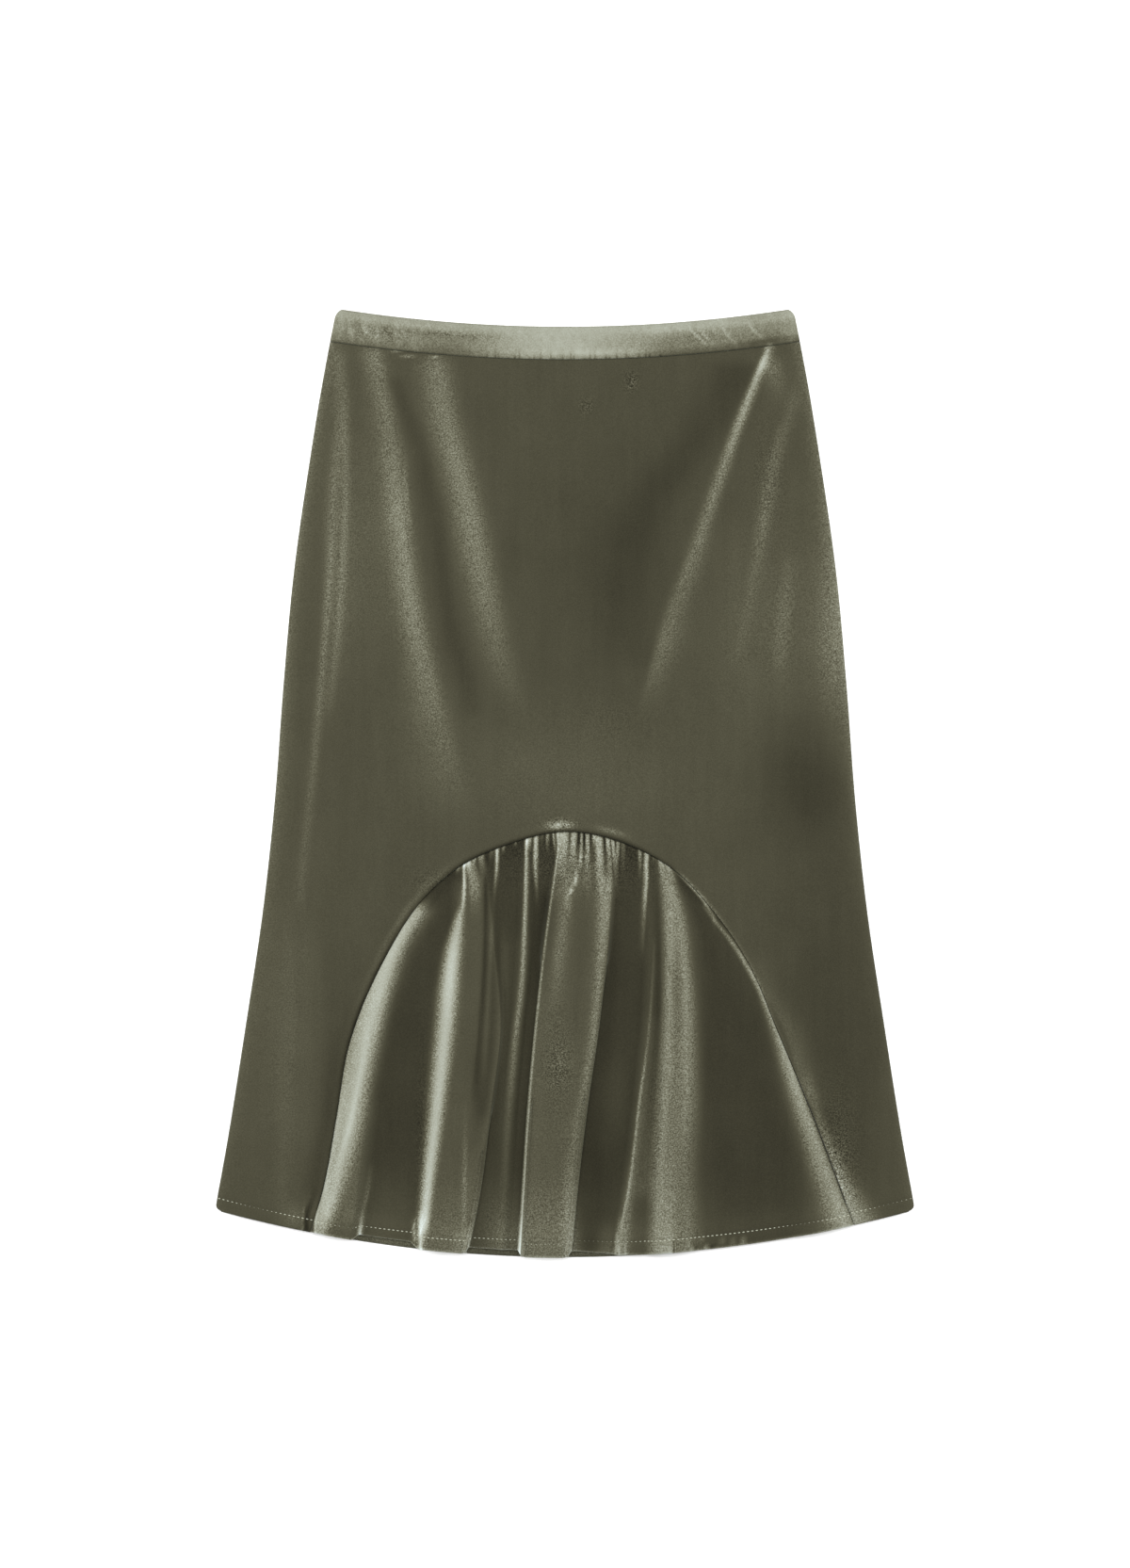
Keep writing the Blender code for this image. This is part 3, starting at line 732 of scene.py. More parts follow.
@dataclass
class FrontPanel:
    """The front of the skirt, cut in one with the arched notch for the godet.

    Attributes:
        rim_sheens: Painted sheen: how much paler its sides are, by height, fading over rim_width.
        seam_shades: Painted shade at the arch seam: how much darker it is, by place, over
            seam_shade_width; below 0, a painted highlight.
        side_drop: How far its sides roll down, over side_roll.
        side_dropped: How much of that there is, by length below the waist seam.
        arch_dips: How far it rolls down to the arch seam, by place, over arch_roll.
        edge_dip, seam_dips: How far its edges sink into their seams, over seam_roll.
        arch_closing, side_opening: How its columns crowd along the arch and up its sides.
        shown_stitches: Length of the seam stitches that show, up from the right foot.
        seam_thread_lift: How far they stand over the sunk edge.
    """

    outline: Outline
    arch: ArchSeam
    heights: ClothHeights
    tone: float = 0.306
    rim_sheens: tuple[Pair, ...] = ((-300, 0.05), (-80, 0.06), (0, 0.12), (320, 0.13))
    rim_width: float = 4.5
    seam_shades: tuple[Pair, ...] = (
        (-190, 0.0), (-172, 0.03), (-155, 0.16), (-137, 0.12), (-112, 0.06), (-92, 0.06),
        (-76, 0.12), (42, 0.12), (80, 0.05), (88, -0.14), (102, -0.20), (118, -0.08),
        (145, -0.08), (168, -0.03), (190, 0.02), (215, 0.02),
    )
    seam_shade_width: float = 1.6
    sheet_top: float = 4.7
    side_drop: float = 2.2
    side_roll: float = 12.0
    side_dropped: Rise = Rise(-12.0, 48.0)
    arch_dips: tuple[Pair, ...] = ((-190, 0.3), (-137, 0.6), (0, 0.8), (60, 0.6), (120, 0.1), (215, 0.0))
    arch_roll: float = 4.0
    edge_dip: float = 0.5
    seam_dips: tuple[Pair, ...] = ((42, 0.5), (108, 0.15), (150, 0.15), (190, 0.35))
    seam_roll: float = 1.6
    ripple: float = 0.16
    ripple_length: float = 34.0
    arch_steps: Steps = (0, 0.4, 0.9, 1.5, 2.3, 3.3, 4.6, 6.2, 8.2)
    side_steps: Steps = (11.0, 8.0, 5.6, 3.8, 2.5, 1.5, 0.8, 0.3, 0.0)
    side_columns: int = 74
    waist_columns: int = 220
    middle_rows: int = 96
    arch_closing: float = 1.45
    side_opening: float = 1.35
    shown_stitches: float = 118.0
    seam_points: int = 40
    seam_thread_lift: float = 0.175
    thread: Thread = Thread()
    seam_thread: Thread = Thread(pitch=2.1, length=1.1, width=0.6, hidden=0.0)

    def surface(self, x: Array, y: Array) -> Array:
        """Height of the panel's outer side.

        Args:
            x: The points' x.
            y: Their y.

        Returns:
            The height at each point.
        """
        side = self.outline.from_side(x, y)
        above = y - self.outline.hem.at(x)
        below_waist = self.outline.seam.at(x) - y
        seam, place = self.arch.nearest(x, y)
        rise = self.heights.hem_rise(above)
        inland = ease(side / self.side_roll)
        side_drop = self.side_drop * quarter_round(side, self.side_roll) * self.side_dropped.at(below_waist)
        arch_drop = from_table(self.arch_dips, place) * quarter_round(seam, self.arch_roll)
        z = self.sheet_top - (side_drop + arch_drop) * (1 - rise)
        z = z + (self.heights.hem_top - self.sheet_top) * rise
        z = z + total(PANEL_RIDGES.values(), x, y) * inland
        ripple = self.ripple * ripples(x, y, self.ripple_length)
        z = z + ripple * inland * ease(above / self.heights.hem_run)
        edge_dip = self.edge_dip * quarter_round(np.minimum(side, below_waist), self.seam_roll)
        seam_dip = from_table(self.seam_dips, place) * quarter_round(seam, self.seam_roll)
        return z - np.maximum(edge_dip, seam_dip) - self.heights.hem_dip(above)

    def pile(self, x: Array, y: Array) -> Array:
        """Lightness of the pile: its own tone with painted light and shade.

        Args:
            x: The points' x.
            y: Their y.

        Returns:
            The lightness at each point.
        """
        # Painted highlights and shade from the streaks and patches, painted sheen along the sides, painted
        # shade at the arch seam and painted highlights beside it.
        tone = total((*PANEL_PAINTED_LIGHT_STREAKS.values(), *PANEL_PAINTED_LIGHT_PATCHES.values()), x, y, self.tone)
        rim = from_table(self.rim_sheens, y) * np.exp(-self.outline.from_side(x, y) / self.rim_width)
        seam, place = self.arch.nearest(x, y)
        shade = from_table(self.seam_shades, place) * bell(seam, self.seam_shade_width)
        return total(SEAM_PAINTED_HIGHLIGHTS.values(), place, seam, tone + rim) - shade

    def arch_line(self) -> Array:
        """Where the grid's columns start.

        Returns:
            A point on the arch for each column, from the left hem to the right.
        """
        lengths = self.arch.lengths()
        end, left, right = lengths[[-1, self.arch.left_shoulder, self.arch.right_shoulder]]
        hem = np.array(self.heights.hem_rows)
        share = np.linspace(0.0, 1.0, self.side_columns + 1)[1:]
        closing = 1 - (1 - share) ** self.arch_closing
        rising, falling = (
            np.concatenate([hem, hem[-1] + closing * (shoulder - hem[-1])])
            for shoulder in (left, end - right)
        )
        across = np.linspace(-1.0, 1.0, self.waist_columns + 1)[1:-1]
        between = left + (across + 1) / 2 * (right - left)
        return self.arch.point(np.concatenate([rising, between, end - falling[::-1]]))

    def outer_line(self) -> Array:
        """Where the grid's columns end.

        Returns:
            A point on the sides or the waist seam for each column, from the left hem to the right.
        """
        hem = np.array(self.heights.hem_rows)
        corner_x = self.outline.half_width(self.outline.seam.at(self.outline.seam.reach))
        corner_y = self.outline.seam.at(corner_x) - self.heights.gap
        foot = self.outline.hem.at(self.outline.widths[1])
        share = np.linspace(0.0, 1.0, self.side_columns + 1)[1:]
        rising = foot + hem[-1] + share**self.side_opening * (corner_y - foot - hem[-1])
        up = np.concatenate([foot + hem, rising])
        side = np.stack([self.outline.half_width(up), up], axis=-1)
        waist_x = np.linspace(-1.0, 1.0, self.waist_columns + 1)[1:-1] * corner_x
        waist = np.stack([waist_x, self.outline.seam.at(waist_x) - self.heights.gap], axis=-1)
        return np.concatenate([side * (-1, 1), waist, side[::-1]])

    def frame_lines(self) -> tuple[Array, Array]:
        """Both ends of the columns, with the first and last of them settled along the curved hem.

        Returns:
            The arch line and the outer line.
        """
        inner, outer = self.arch_line(), self.outer_line()
        hem = self.outline.hem
        for column, above in enumerate(self.heights.hem_rows):
            for end in (column, -1 - column):
                inner[end, 1] = hem.at(inner[end, 0]) + above
                outer[end, 1] = hem.at(outer[end, 0]) + above
                outer[end, 0] = np.sign(outer[end, 0]) * self.outline.half_width(outer[end, 1])
        return inner, outer

    def plan(self) -> tuple[Array, Array]:
        """The grid seen from above.

        Returns:
            Its x and y, with rows from the arch out and columns from the left hem to the right.
        """
        columns = []
        for start, end in zip(*self.frame_lines()):
            length = np.hypot(*(end - start))
            first, last = self.arch_steps[-1], length - self.side_steps[0]
            middle = np.linspace(first, last, self.middle_rows + 1)[1:]
            places = np.concatenate([self.arch_steps, middle, length - np.array(self.side_steps[1:])])
            columns.append(start + (places / length)[:, None] * (end - start))
        x, y = np.moveaxis(np.stack(columns, axis=1), -1, 0)
        hem = self.heights.hem_rows
        ends = (slice(None), [*range(len(hem)), *range(-len(hem), 0)])
        y[ends] = self.outline.hem.at(x[ends]) + np.concatenate([hem, hem[::-1]])
        return x, y

    def grid(self) -> ClothGrid:
        """The panel's outer side.

        Returns:
            Its grid, as the plan's.
        """
        x, y = self.plan()
        above = y - self.outline.hem.at(x)
        edges = np.minimum(self.outline.from_side(x, y), self.arch.nearest(x, y)[0])
        edges = np.minimum(edges, self.outline.seam.at(x) - y)
        points = np.stack([x, y, self.surface(x, y)], axis=-1)
        grit = total(PANEL_RUFFLED.values(), x, y)
        return ClothGrid(points, self.pile(x, y), grit, self.heights.thickness(above, edges))

    def seam_line(self) -> Array:
        """The line of the stitches that show along the right side of the arch seam.

        Returns:
            Points on it.
        """
        end = self.arch.lengths()[-1]
        shown = np.linspace(end - self.shown_stitches, end - self.heights.stitch_line, self.seam_points)
        line = self.arch.point(shown)
        return np.column_stack([line, self.surface(*line.T) + self.seam_thread_lift])

    def build(self, velvet: Finish, sewing: Finish, shade_dark_seam_sewing: Finish) -> list[Piece]:
        """Makes the panel and its stitches.

        Args:
            velvet: The panel's finish.
            sewing: The finish of the hem's thread.
            shade_dark_seam_sewing: The finish of the seam's thread, near black for the painted shade of its
                needle holes.

        Returns:
            The cloth, then its rows of stitches.
        """
        grid = self.grid()
        column = self.heights.hem_rows.index(self.heights.stitch_line)
        cloth = add_cloth("front_panel_cloth", grid, self.heights, Face.UPPER, velvet)
        pieces = [
            cloth,
            self.thread.build("left_leg_hem_stitches", grid.points[::-1, column], sewing),
            self.thread.build("right_leg_hem_stitches", grid.points[:, -1 - column], sewing),
            self.seam_thread.build("right_seam_stitches", self.seam_line(), shade_dark_seam_sewing),
        ]
        return fit(pieces, Slot.PANEL, "front_panel")


STATIONS: Stations = (-60.0, -120.0, -180.0, -240.0, -300.0, -350.0)
MIDDLE_STATION = 2
PAST_STATIONS = 10.0
NO_GLINT: Stations = (0.0, 0.0, 0.0, 0.0, 0.0, 0.0)
WIDE_CREST = (0.04, 0.12, 0.28, 0.5, 0.72, 0.88, 0.96)


def at_stations(values: Stations, y: Array | float) -> Array:
    """Values known at the STATIONS, read at any height."""
    y = np.clip(y, STATIONS[-1] - PAST_STATIONS, STATIONS[0] + PAST_STATIONS)
    return smooth_curve(STATIONS[::-1], values[::-1], y)


@dataclass(frozen=True)
class Fold:
    """A fold of the godet. Each row of six numbers is at the STATIONS, from the arch to the hem.

    Attributes:
        left: The left edge of its crest.
        width: Its crest's width.
        height: Its height.
        tone: Painted lightness of its crest, paler than the valley floor's as the crest takes the light.
        reach_left, reach_right: How far its slopes run.
        tuck_left, tuck_right: How far a side is tucked back under its own edge.
        crest: The places that shape its crest, as shares of the width.
        glint_left, glint_right: Painted highlights along its two edges: how much paler they are.
        line_left, line_right: How far in from the edge such a glint is, and half its width.
        fit_rounds: How often its place in a row is corrected.
    """

    left: Stations
    width: Stations
    height: Stations
    tone: float
    reach_left: float
    reach_right: float
    tuck_left: float = 0.0
    tuck_right: float = 0.0
    crest: Steps = (0.5,)
    glint_left: Stations = NO_GLINT
    glint_right: Stations = NO_GLINT
    line_left: Pair = (0.5, 0.8)
    line_right: Pair = (0.8, 1.2)
    fit_rounds: int = 12

    def edges(self, line: Line) -> Triple:
        """Its place in a row.

        Args:
            line: Height of the row at x.

        Returns:
            The x of its crest's two edges, and its height.
        """
        left = right = self.left[MIDDLE_STATION]
        for _ in range(self.fit_rounds):
            left = at_stations(self.left, line(left))
            right = at_stations(self.left, line(right)) + at_stations(self.width, line(right))
        return float(left), float(right), float(at_stations(self.height, line((left + right) / 2)))

    def at(self, x: Array, y: Array) -> Array:
        """How much paler its painted highlights along its two edges make it.

        Args:
            x: The points' x.
            y: Their y.

        Returns:
            The change of lightness at each point.
        """
        left = at_stations(self.left, y)
        right = left + at_stations(self.width, y)
        inset_left, width_left = self.line_left
        inset_right, width_right = self.line_right
        pale = at_stations(self.glint_left, y) * bell(x - left - inset_left, width_left)
        return pale + at_stations(self.glint_right, y) * bell(x - right + inset_right, width_right)


FOLDS: dict[str, Fold] = {
    "left roll": Fold(
        (-84, -123, -141, -151, -162, -173), (1, 3, 4, 4, 7, 11), (0.9, 2.6, 4.6, 6.0, 7.2, 8.0), 0.25, 0,
        9),
    "left pleat": Fold(
        (-74.5, -76.7, -82.3, -88.6, -97, -106.8), (15.5, 23.5, 34, 33.4, 34, 34.4),
        (1.4, 2.8, 3.8, 4.9, 7.8, 8.8), 0.315, 11, 12, tuck_right=5, crest=WIDE_CREST,
        glint_right=(0, 0, 0, 0, 0, 0.2)),
    "narrow ridge": Fold(
        (-30, -31.5, -37, -42, -45.5, -48), (2, 2, 2, 2, 2, 2), (1.6, 3.0, 2.6, 1.8, 1.2, 1.0), 0.25, 5, 6),
    "tongue": Fold(
        (-7, -15.4, -22, -27.3, -31.2, -34.3), (42, 47, 46.8, 43.4, 40, 38.4),
        (2.0, 4.6, 6.8, 8.2, 9.2, 9.6), 0.34, 6, 6, tuck_left=5.5, tuck_right=5.5, crest=WIDE_CREST,
        glint_left=(0.25, 0.22, 0.25, 0.3, 0.36, 0.42)),
    "right ridge": Fold(
        (61, 62.4, 60.3, 54, 45.6, 39.3), (2, 2, 2, 2, 2, 2), (1.4, 2.0, 3.6, 3.8, 3.4, 2.8), 0.27, 5, 6),
    "right roll": Fold(
        (72.5, 76, 76, 73.2, 69, 66.9), (5.5, 13.3, 15.4, 16.8, 16.8, 18.9),
        (1.6, 3.2, 4.4, 5.0, 5.4, 5.4), 0.32, 8, 16, crest=(0.2, 0.5, 0.8)),
    "right edge": Fold(
        (88, 119, 146, 167, 181, 187), (2, 2, 3, 3.5, 5, 6), (0.8, 2.0, 3.4, 4.4, 4.8, 5.0), 0.25, 22, 0),
}
# Painted highlights along the godet's folds, edges and hem, and painted shade in its valleys and gaps where
# the gain is below 0.
GODET_PAINTED_LIGHT_STREAKS: dict[str, PaintedLightStreak] = {
    "left roll": PaintedLightStreak(
        ((-112, -96, 0.42), (-126, -119, 0.5), (-137.5, -152, 0.5), (-154, -222, 0.46), (-161, -257, 0.45),
         (-169.5, -292, 0.42), (-177.5, -322, 0.38), (-181, -333, 0.26), (-183, -345, 0.2)), (17,),
        (10, 10, 10, 10, 7.6, 3.6)),
    "left roll rim": PaintedLightStreak(((-161, -205, 0.02), (-168.5, -248, 0.1), (-178.5, -298, 0.1)), (2.5,), (2.5,)),
    "left roll tail": PaintedLightStreak(((-146, -240, 0.02), (-152, -275, 0.08), (-159, -320, 0.07)), (10,), (9,)),
    "left foot gap": PaintedLightStreak(
        ((-181, -302, 0), (-187, -312, -0.16), (-188.5, -322, -0.28), (-190, -345, -0.34)), (6,),
        (2.5, 3.8), 4, 2),
    "left foot edge": PaintedLightStreak(
        ((-183.5, -316, 0.02), (-185.2, -324, 0.2), (-185.6, -345, 0.25)), (0.8,), (0.8,), 2, 2),
    "left roll line": PaintedLightStreak(
        ((-147, -187, 0.03), (-153, -222, 0.07), (-161, -257, 0.08), (-170, -288, 0.05)), (2.2,), (2.2,)),
    "foot curl": PaintedLightStreak(
        ((-144, -285, 0.04), (-147, -305, 0.1), (-150.6, -320, 0.13), (-152.4, -334, 0.62)), (2.2, 1.5),
        (1.8, 1.4), 2, 3),
    "pleat top glint": PaintedLightStreak(
        ((-75.5, -57, 0.5), (-75.2, -76, 0.5), (-76.4, -92, 0.25), (-79, -100, 0.1)), (0.9,), (1.6,)),
    "pleat top": PaintedLightStreak(((-71, -60, 0.25), (-68.5, -75, 0.2), (-68, -90, 0.05)), (3,), (5,), 4),
    "left pleat": PaintedLightStreak(
        ((-76.8, -90, 0.1), (-79.5, -102, 0.34), (-82.5, -118, 0.48), (-90, -187, 0.48),
         (-97.5, -257, 0.49), (-103.5, -310, 0.475), (-105.5, -331, 0.42), (-106.3, -338, 0.14),
         (-106.8, -347, 0.08)), (2.5, 5.5, 7, 7, 6.6, 5.6, 5, 4, 3), (3, 6, 7, 6.8, 6.4, 5.6, 5, 4.2, 3.4),
        2.6),
    "pleat foot edge": PaintedLightStreak(
        ((-108, -318, 0.1), (-107.8, -328, 0.3), (-107.2, -345, 0.44)), (1.4,), (1.7,), 2, 2),
    "pleat foot curl": PaintedLightStreak(
        ((-112, -324, 0.2), (-112.4, -331, 0.4), (-111.6, -338, 0.3)), (0.9,), (0.9,), 2, 2),
    "pleat step": PaintedLightStreak(
        ((-59, -75, -0.1), (-59.5, -120, -0.09), (-63, -180, -0.08), (-67, -225, -0.04), (-69, -240, 0)),
        (1.6,), (2.4,)),
    "pleat flap": PaintedLightStreak(
        ((-53, -110, 0), (-53.5, -135, -0.045), (-54, -170, -0.06), (-56, -205, -0.07),
         (-60, -240, -0.03)), (6,), (4,)),
    "beside the flap": PaintedLightStreak(
        ((-46.5, -100, 0), (-46, -130, 0.045), (-45, -160, 0.04), (-46, -200, 0.015)), (2.2,), (4,), 3),
    "pleat foot light": PaintedLightStreak(((-71, -326, 0), (-72, -334, 0.09), (-73.5, -345, 0.1)), (9,), (3,), 3, 3),
    "pleat shade": PaintedLightStreak(((-63, -205, -0.02), (-62, -240, -0.06), (-66, -265, -0.02)), (7,), (6,)),
    "pleat inner ridge": PaintedLightStreak(
        ((-51, -47, 0.4), (-51, -62, 0.4), (-52, -76, 0.14), (-55, -120, 0.05), (-58, -180, 0.05),
         (-61, -230, 0.02)), (1, 2.2), (1, 2.2)),
    "pleat lower ridge": PaintedLightStreak(((-74, -245, 0.02), (-74.5, -292, 0.12), (-75, -320, 0.1)), (1.5,), (1.5,)),
    "narrow ridge": PaintedLightStreak(
        ((-29, -44, 0.5), (-29, -62, 0.42), (-30, -100, 0.36), (-32.5, -152, 0.24), (-36.5, -187, 0.17),
         (-41, -240, 0.06), (-44, -292, 0.03)), (1.0, 1.8, 3, 3.5), (1.6, 2.2, 3, 3.5)),
    "beside narrow ridge": PaintedLightStreak(
        ((-22.5, -42, 0.35), (-22.3, -61, 0.33), (-21, -80, 0.08)), (1.3,), (1.3,)),
    "valley by the tongue": PaintedLightStreak(
        ((-34, -120, 0.02), (-38, -180, 0.03), (-45, -240, 0.05), (-50, -300, 0.06), (-45, -345, 0.09)),
        (16,), (14,)),
    "valley past the tongue": PaintedLightStreak(
        ((36, -180, 0), (36, -245, 0.03), (30, -290, -0.03), (24, -340, -0.06)), (12,), (12,)),
    "tongue foot edge": PaintedLightStreak(
        ((-33.4, -318, 0), (-34, -331, 0.14), (-34.2, -347, 0.2)), (1.4,), (1.8,), 2, 2),
    "ridge foot edge": PaintedLightStreak(
        ((41.5, -316, 0), (39.8, -328, 0.1), (38.6, -338, 0.22), (38, -347, 0.26)), (1.6,), (2.4,), 2, 2),
    "valley foot": PaintedLightStreak(((31, -322, 0), (31, -336, 0.05), (31, -347, 0.08)), (7,), (5,), 3, 3),
    "tongue crest": PaintedLightStreak(((-11, -90, -0.05), (-12, -120, -0.05), (-15, -165, 0)), (8,), (6,)),
    "tongue streak": PaintedLightStreak(((2, -75, 0.1), (0, -95, 0.08), (-3, -117, 0.1), (-7, -160, 0.03)), (5,), (4,)),
    "tongue middle": PaintedLightStreak(((13, -88, -0.03), (12, -125, -0.04), (8, -180, -0.02)), (8,), (8,)),
    "tongue right": PaintedLightStreak(
        ((32, -75, 0.2), (29.5, -100, 0.18), (24.6, -152, 0.13), (21, -190, 0.12), (13, -235, 0.09),
         (5, -292, 0.09), (4, -320, 0.13), (4.5, -345, 0.17)), (6, 3.5, 4, 5, 6), (5, 3, 3, 4.5, 6)),
    "right ridge top": PaintedLightStreak(
        ((60, -45, 0.1), (60.5, -56, 0.12), (61, -68, 0.34), (60, -82, 0.38), (59, -100, 0.18),
         (58, -117, 0.08)), (2.2,), (1.1,)),
    "right ridge": PaintedLightStreak(
        ((66, -124, 0.05), (64.5, -152, 0.09), (61.8, -187, 0.11), (55.2, -235, 0.2), (50.6, -276, 0.17),
         (46.5, -305, 0.2), (42, -326, 0.14)), (0.8,), (1.3,)),
    "right ridge glow": PaintedLightStreak(
        ((58, -215, 0.02), (53, -262, 0.08), (48, -300, 0.12), (43, -345, 0.18)), (2, 2, 4), (5,)),
    "beside right roll": PaintedLightStreak(((66, -180, 0.04), (62, -240, 0.08), (58, -300, 0.09)), (8,), (8,)),
    "right roll left": PaintedLightStreak(
        ((71.5, -50, 0.2), (73, -61, 0.14), (74.5, -75, 0.12), (78, -100, 0.2), (78, -152, 0.19),
         (75, -222, 0.17), (71, -292, 0.15), (68, -345, 0.1)), (6,), (4,)),
    "right roll middle": PaintedLightStreak(
        ((83, -150, 0), (83, -187, 0.08), (82, -240, 0.11), (78, -300, 0.14), (76, -345, 0.16)), (6,),
        (7,)),
    "right roll right": PaintedLightStreak(
        ((76, -50, 0.3), (77.5, -61, 0.22), (79, -75, 0.2), (83, -90, 0.2), (89.5, -152, 0.2),
         (91, -222, 0.15), (90, -292, 0.1), (92, -345, 0.08)), (5,), (4, 5, 8, 12, 9)),
    "right edge": PaintedLightStreak(
        ((104, -92, 0.1), (110, -100, 0.15), (123.5, -117, 0.24), (144.5, -152, 0.34), (157, -180, 0.38),
         (175.5, -235, 0.36), (196, -292, 0.31), (211, -332, 0.28)), (1.5, 2.5, 7, 10.5, 14), (2, 2, 5, 8)),
    "right floor foot": PaintedLightStreak(((150, -280, 0), (150, -310, -0.035), (150, -345, -0.05)), (50,), (40,), 4),
    "right seam": PaintedLightStreak(
        ((82.5, -65, 0.1), (92.4, -75.2, 0.3), (99.4, -82.7, 0.34), (111, -98, 0.1)), (1.2,), (1.2,)),
    "slanting crease": PaintedLightStreak(
        ((12, -53, 0.25), (9.5, -66, 0.42), (6, -77, 0.42), (2.7, -84, 0.3)), (1.2,), (0.8,)),
}
GODET_RUFFLED: dict[str, PaintedLightAndGritPatch] = {
    "tongue": PaintedLightAndGritPatch(-5, -208, 9, 26, 0.9),
    "tongue foot": PaintedLightAndGritPatch(0, -290, 4, 40, 0.25),
    "gathers": PaintedLightAndGritPatch(12, -56, 60, 22, 0.55),
    "left roll edge": PaintedLightAndGritPatch(-146, -140, 6, 40, 0.4),
    "left roll foot": PaintedLightAndGritPatch(-174, -290, 6, 60, 0.4),
    "pleat edge": PaintedLightAndGritPatch(-106, -290, 4, 80, 0.4),
    "right roll edge": PaintedLightAndGritPatch(66, -260, 4, 60, 0.35),
}


@dataclass(frozen=True)
class Tuck:
    """A small tuck gathered into a seam, with a painted highlight on it. A dark one is a slit
    between two others, with painted shade in it.

    Attributes:
        x: Where it leaves the seam.
        half: Half its width.
        run: How far it runs.
        pale: How much paler it is painted, as its highlight; below 0, how much darker, as a slit's shade.
        lean: How far it moves to the right for each millimetre from the seam.
        firmness: 2 where it fades to its sides, and more where it is even and then ends.
        base, swell: Its height, as much and so much more for each millimetre of half.
        slit: The height of a dark one.
    """

    x: float
    half: float
    run: float
    pale: float
    lean: float = 0.0
    firmness: float = 4.0
    base: float = 0.35
    swell: float = 0.22
    slit: float = -0.2

    def at(self, x: Array, away: float) -> Array:
        """1 on the tuck and 0 beside it, at places x and a distance from its seam."""
        across = np.exp(-((np.abs(x - self.x - self.lean * away) / self.half) ** self.firmness))
        return across * bell(away, self.run)

    @property
    def height(self) -> float:
        """How high it stands."""
        return self.base + self.swell * self.half if self.pale > 0 else self.slit


GATHERS = (
    Tuck(-79.1, 1.8, 6, 0.3), Tuck(-74.9, 1.1, 6, 0.45), Tuck(-72.0, 1.9, 10, 0.42, 0.1),
    Tuck(-67.2, 1.1, 6, 0.3), Tuck(-62.6, 2.3, 14, 0.3, 0.08), Tuck(-54.6, 1.8, 8, 0.15),
    Tuck(-50.0, 1.2, 16, 0.38), Tuck(-45.9, 1.4, 5, 0.3), Tuck(-36.8, 0.8, 3, 0.3),
    Tuck(-27.0, 2.1, 8, 0.45), Tuck(-21.0, 1.4, 24, 0.38), Tuck(-17.2, 1.4, 8, 0.12),
    Tuck(-13.0, 1.4, 10, 0.33), Tuck(-8.8, 0.9, 13, 0.4, 0.1), Tuck(-6.0, 1.1, 6, 0.35),
    Tuck(-1.0, 4.0, 24, 0.5, -0.04), Tuck(3.6, 0.5, 14, -0.1), Tuck(6.7, 2.5, 22, 0.44, -0.05),
    Tuck(10.2, 0.6, 12, -0.1, -0.04), Tuck(12.4, 1.0, 20, 0.34), Tuck(14.3, 0.6, 22, -0.12),
    Tuck(16.7, 1.6, 28, 0.4), Tuck(19.4, 0.5, 10, -0.08), Tuck(21.4, 1.4, 8, 0.44),
    Tuck(25.2, 2.9, 32, 0.46, 0.02), Tuck(29.4, 0.5, 14, -0.06, 0.04), Tuck(31.7, 1.7, 20, 0.46, 0.07),
    Tuck(35.4, 1.4, 22, 0.46, 0.08), Tuck(39.4, 1.2, 18, 0.4, -0.03), Tuck(43.2, 1.9, 18, 0.15),
    Tuck(55.7, 1.4, 18, 0.33), Tuck(60.9, 1.8, 20, 0.4, -0.05), Tuck(65.6, 0.6, 6, 0.12),
    Tuck(71.2, 1.9, 14, 0.25, 0.05), Tuck(76.0, 2.1, 10, 0.2, 0.35),
)
# Painted highlights of small tucks at the hem, and painted shade in the slits between them; they have no
# height.
HEM_TUCKS_PAINTED_LIGHT = (
    Tuck(40.2, 0.9, 8, 0.16), Tuck(44.8, 0.9, 8, 0.18), Tuck(74.0, 4.5, 8, 0.06), Tuck(78.6, 1.0, 7, 0.14),
    Tuck(80.6, 0.7, 7, -0.26), Tuck(83.0, 0.7, 7, -0.1), Tuck(94.0, 1.2, 8, 0.16, -0.35),
    Tuck(98.0, 1.0, 6, -0.1, -0.35), Tuck(105.0, 1.2, 8, 0.22, -0.35), Tuck(109.0, 1.0, 6, -0.1, -0.35),
    Tuck(119.0, 1.0, 8, 0.14, -0.35), Tuck(126.0, 1.0, 8, 0.12, -0.35), Tuck(133.5, 1.0, 8, 0.18, -0.35),
)


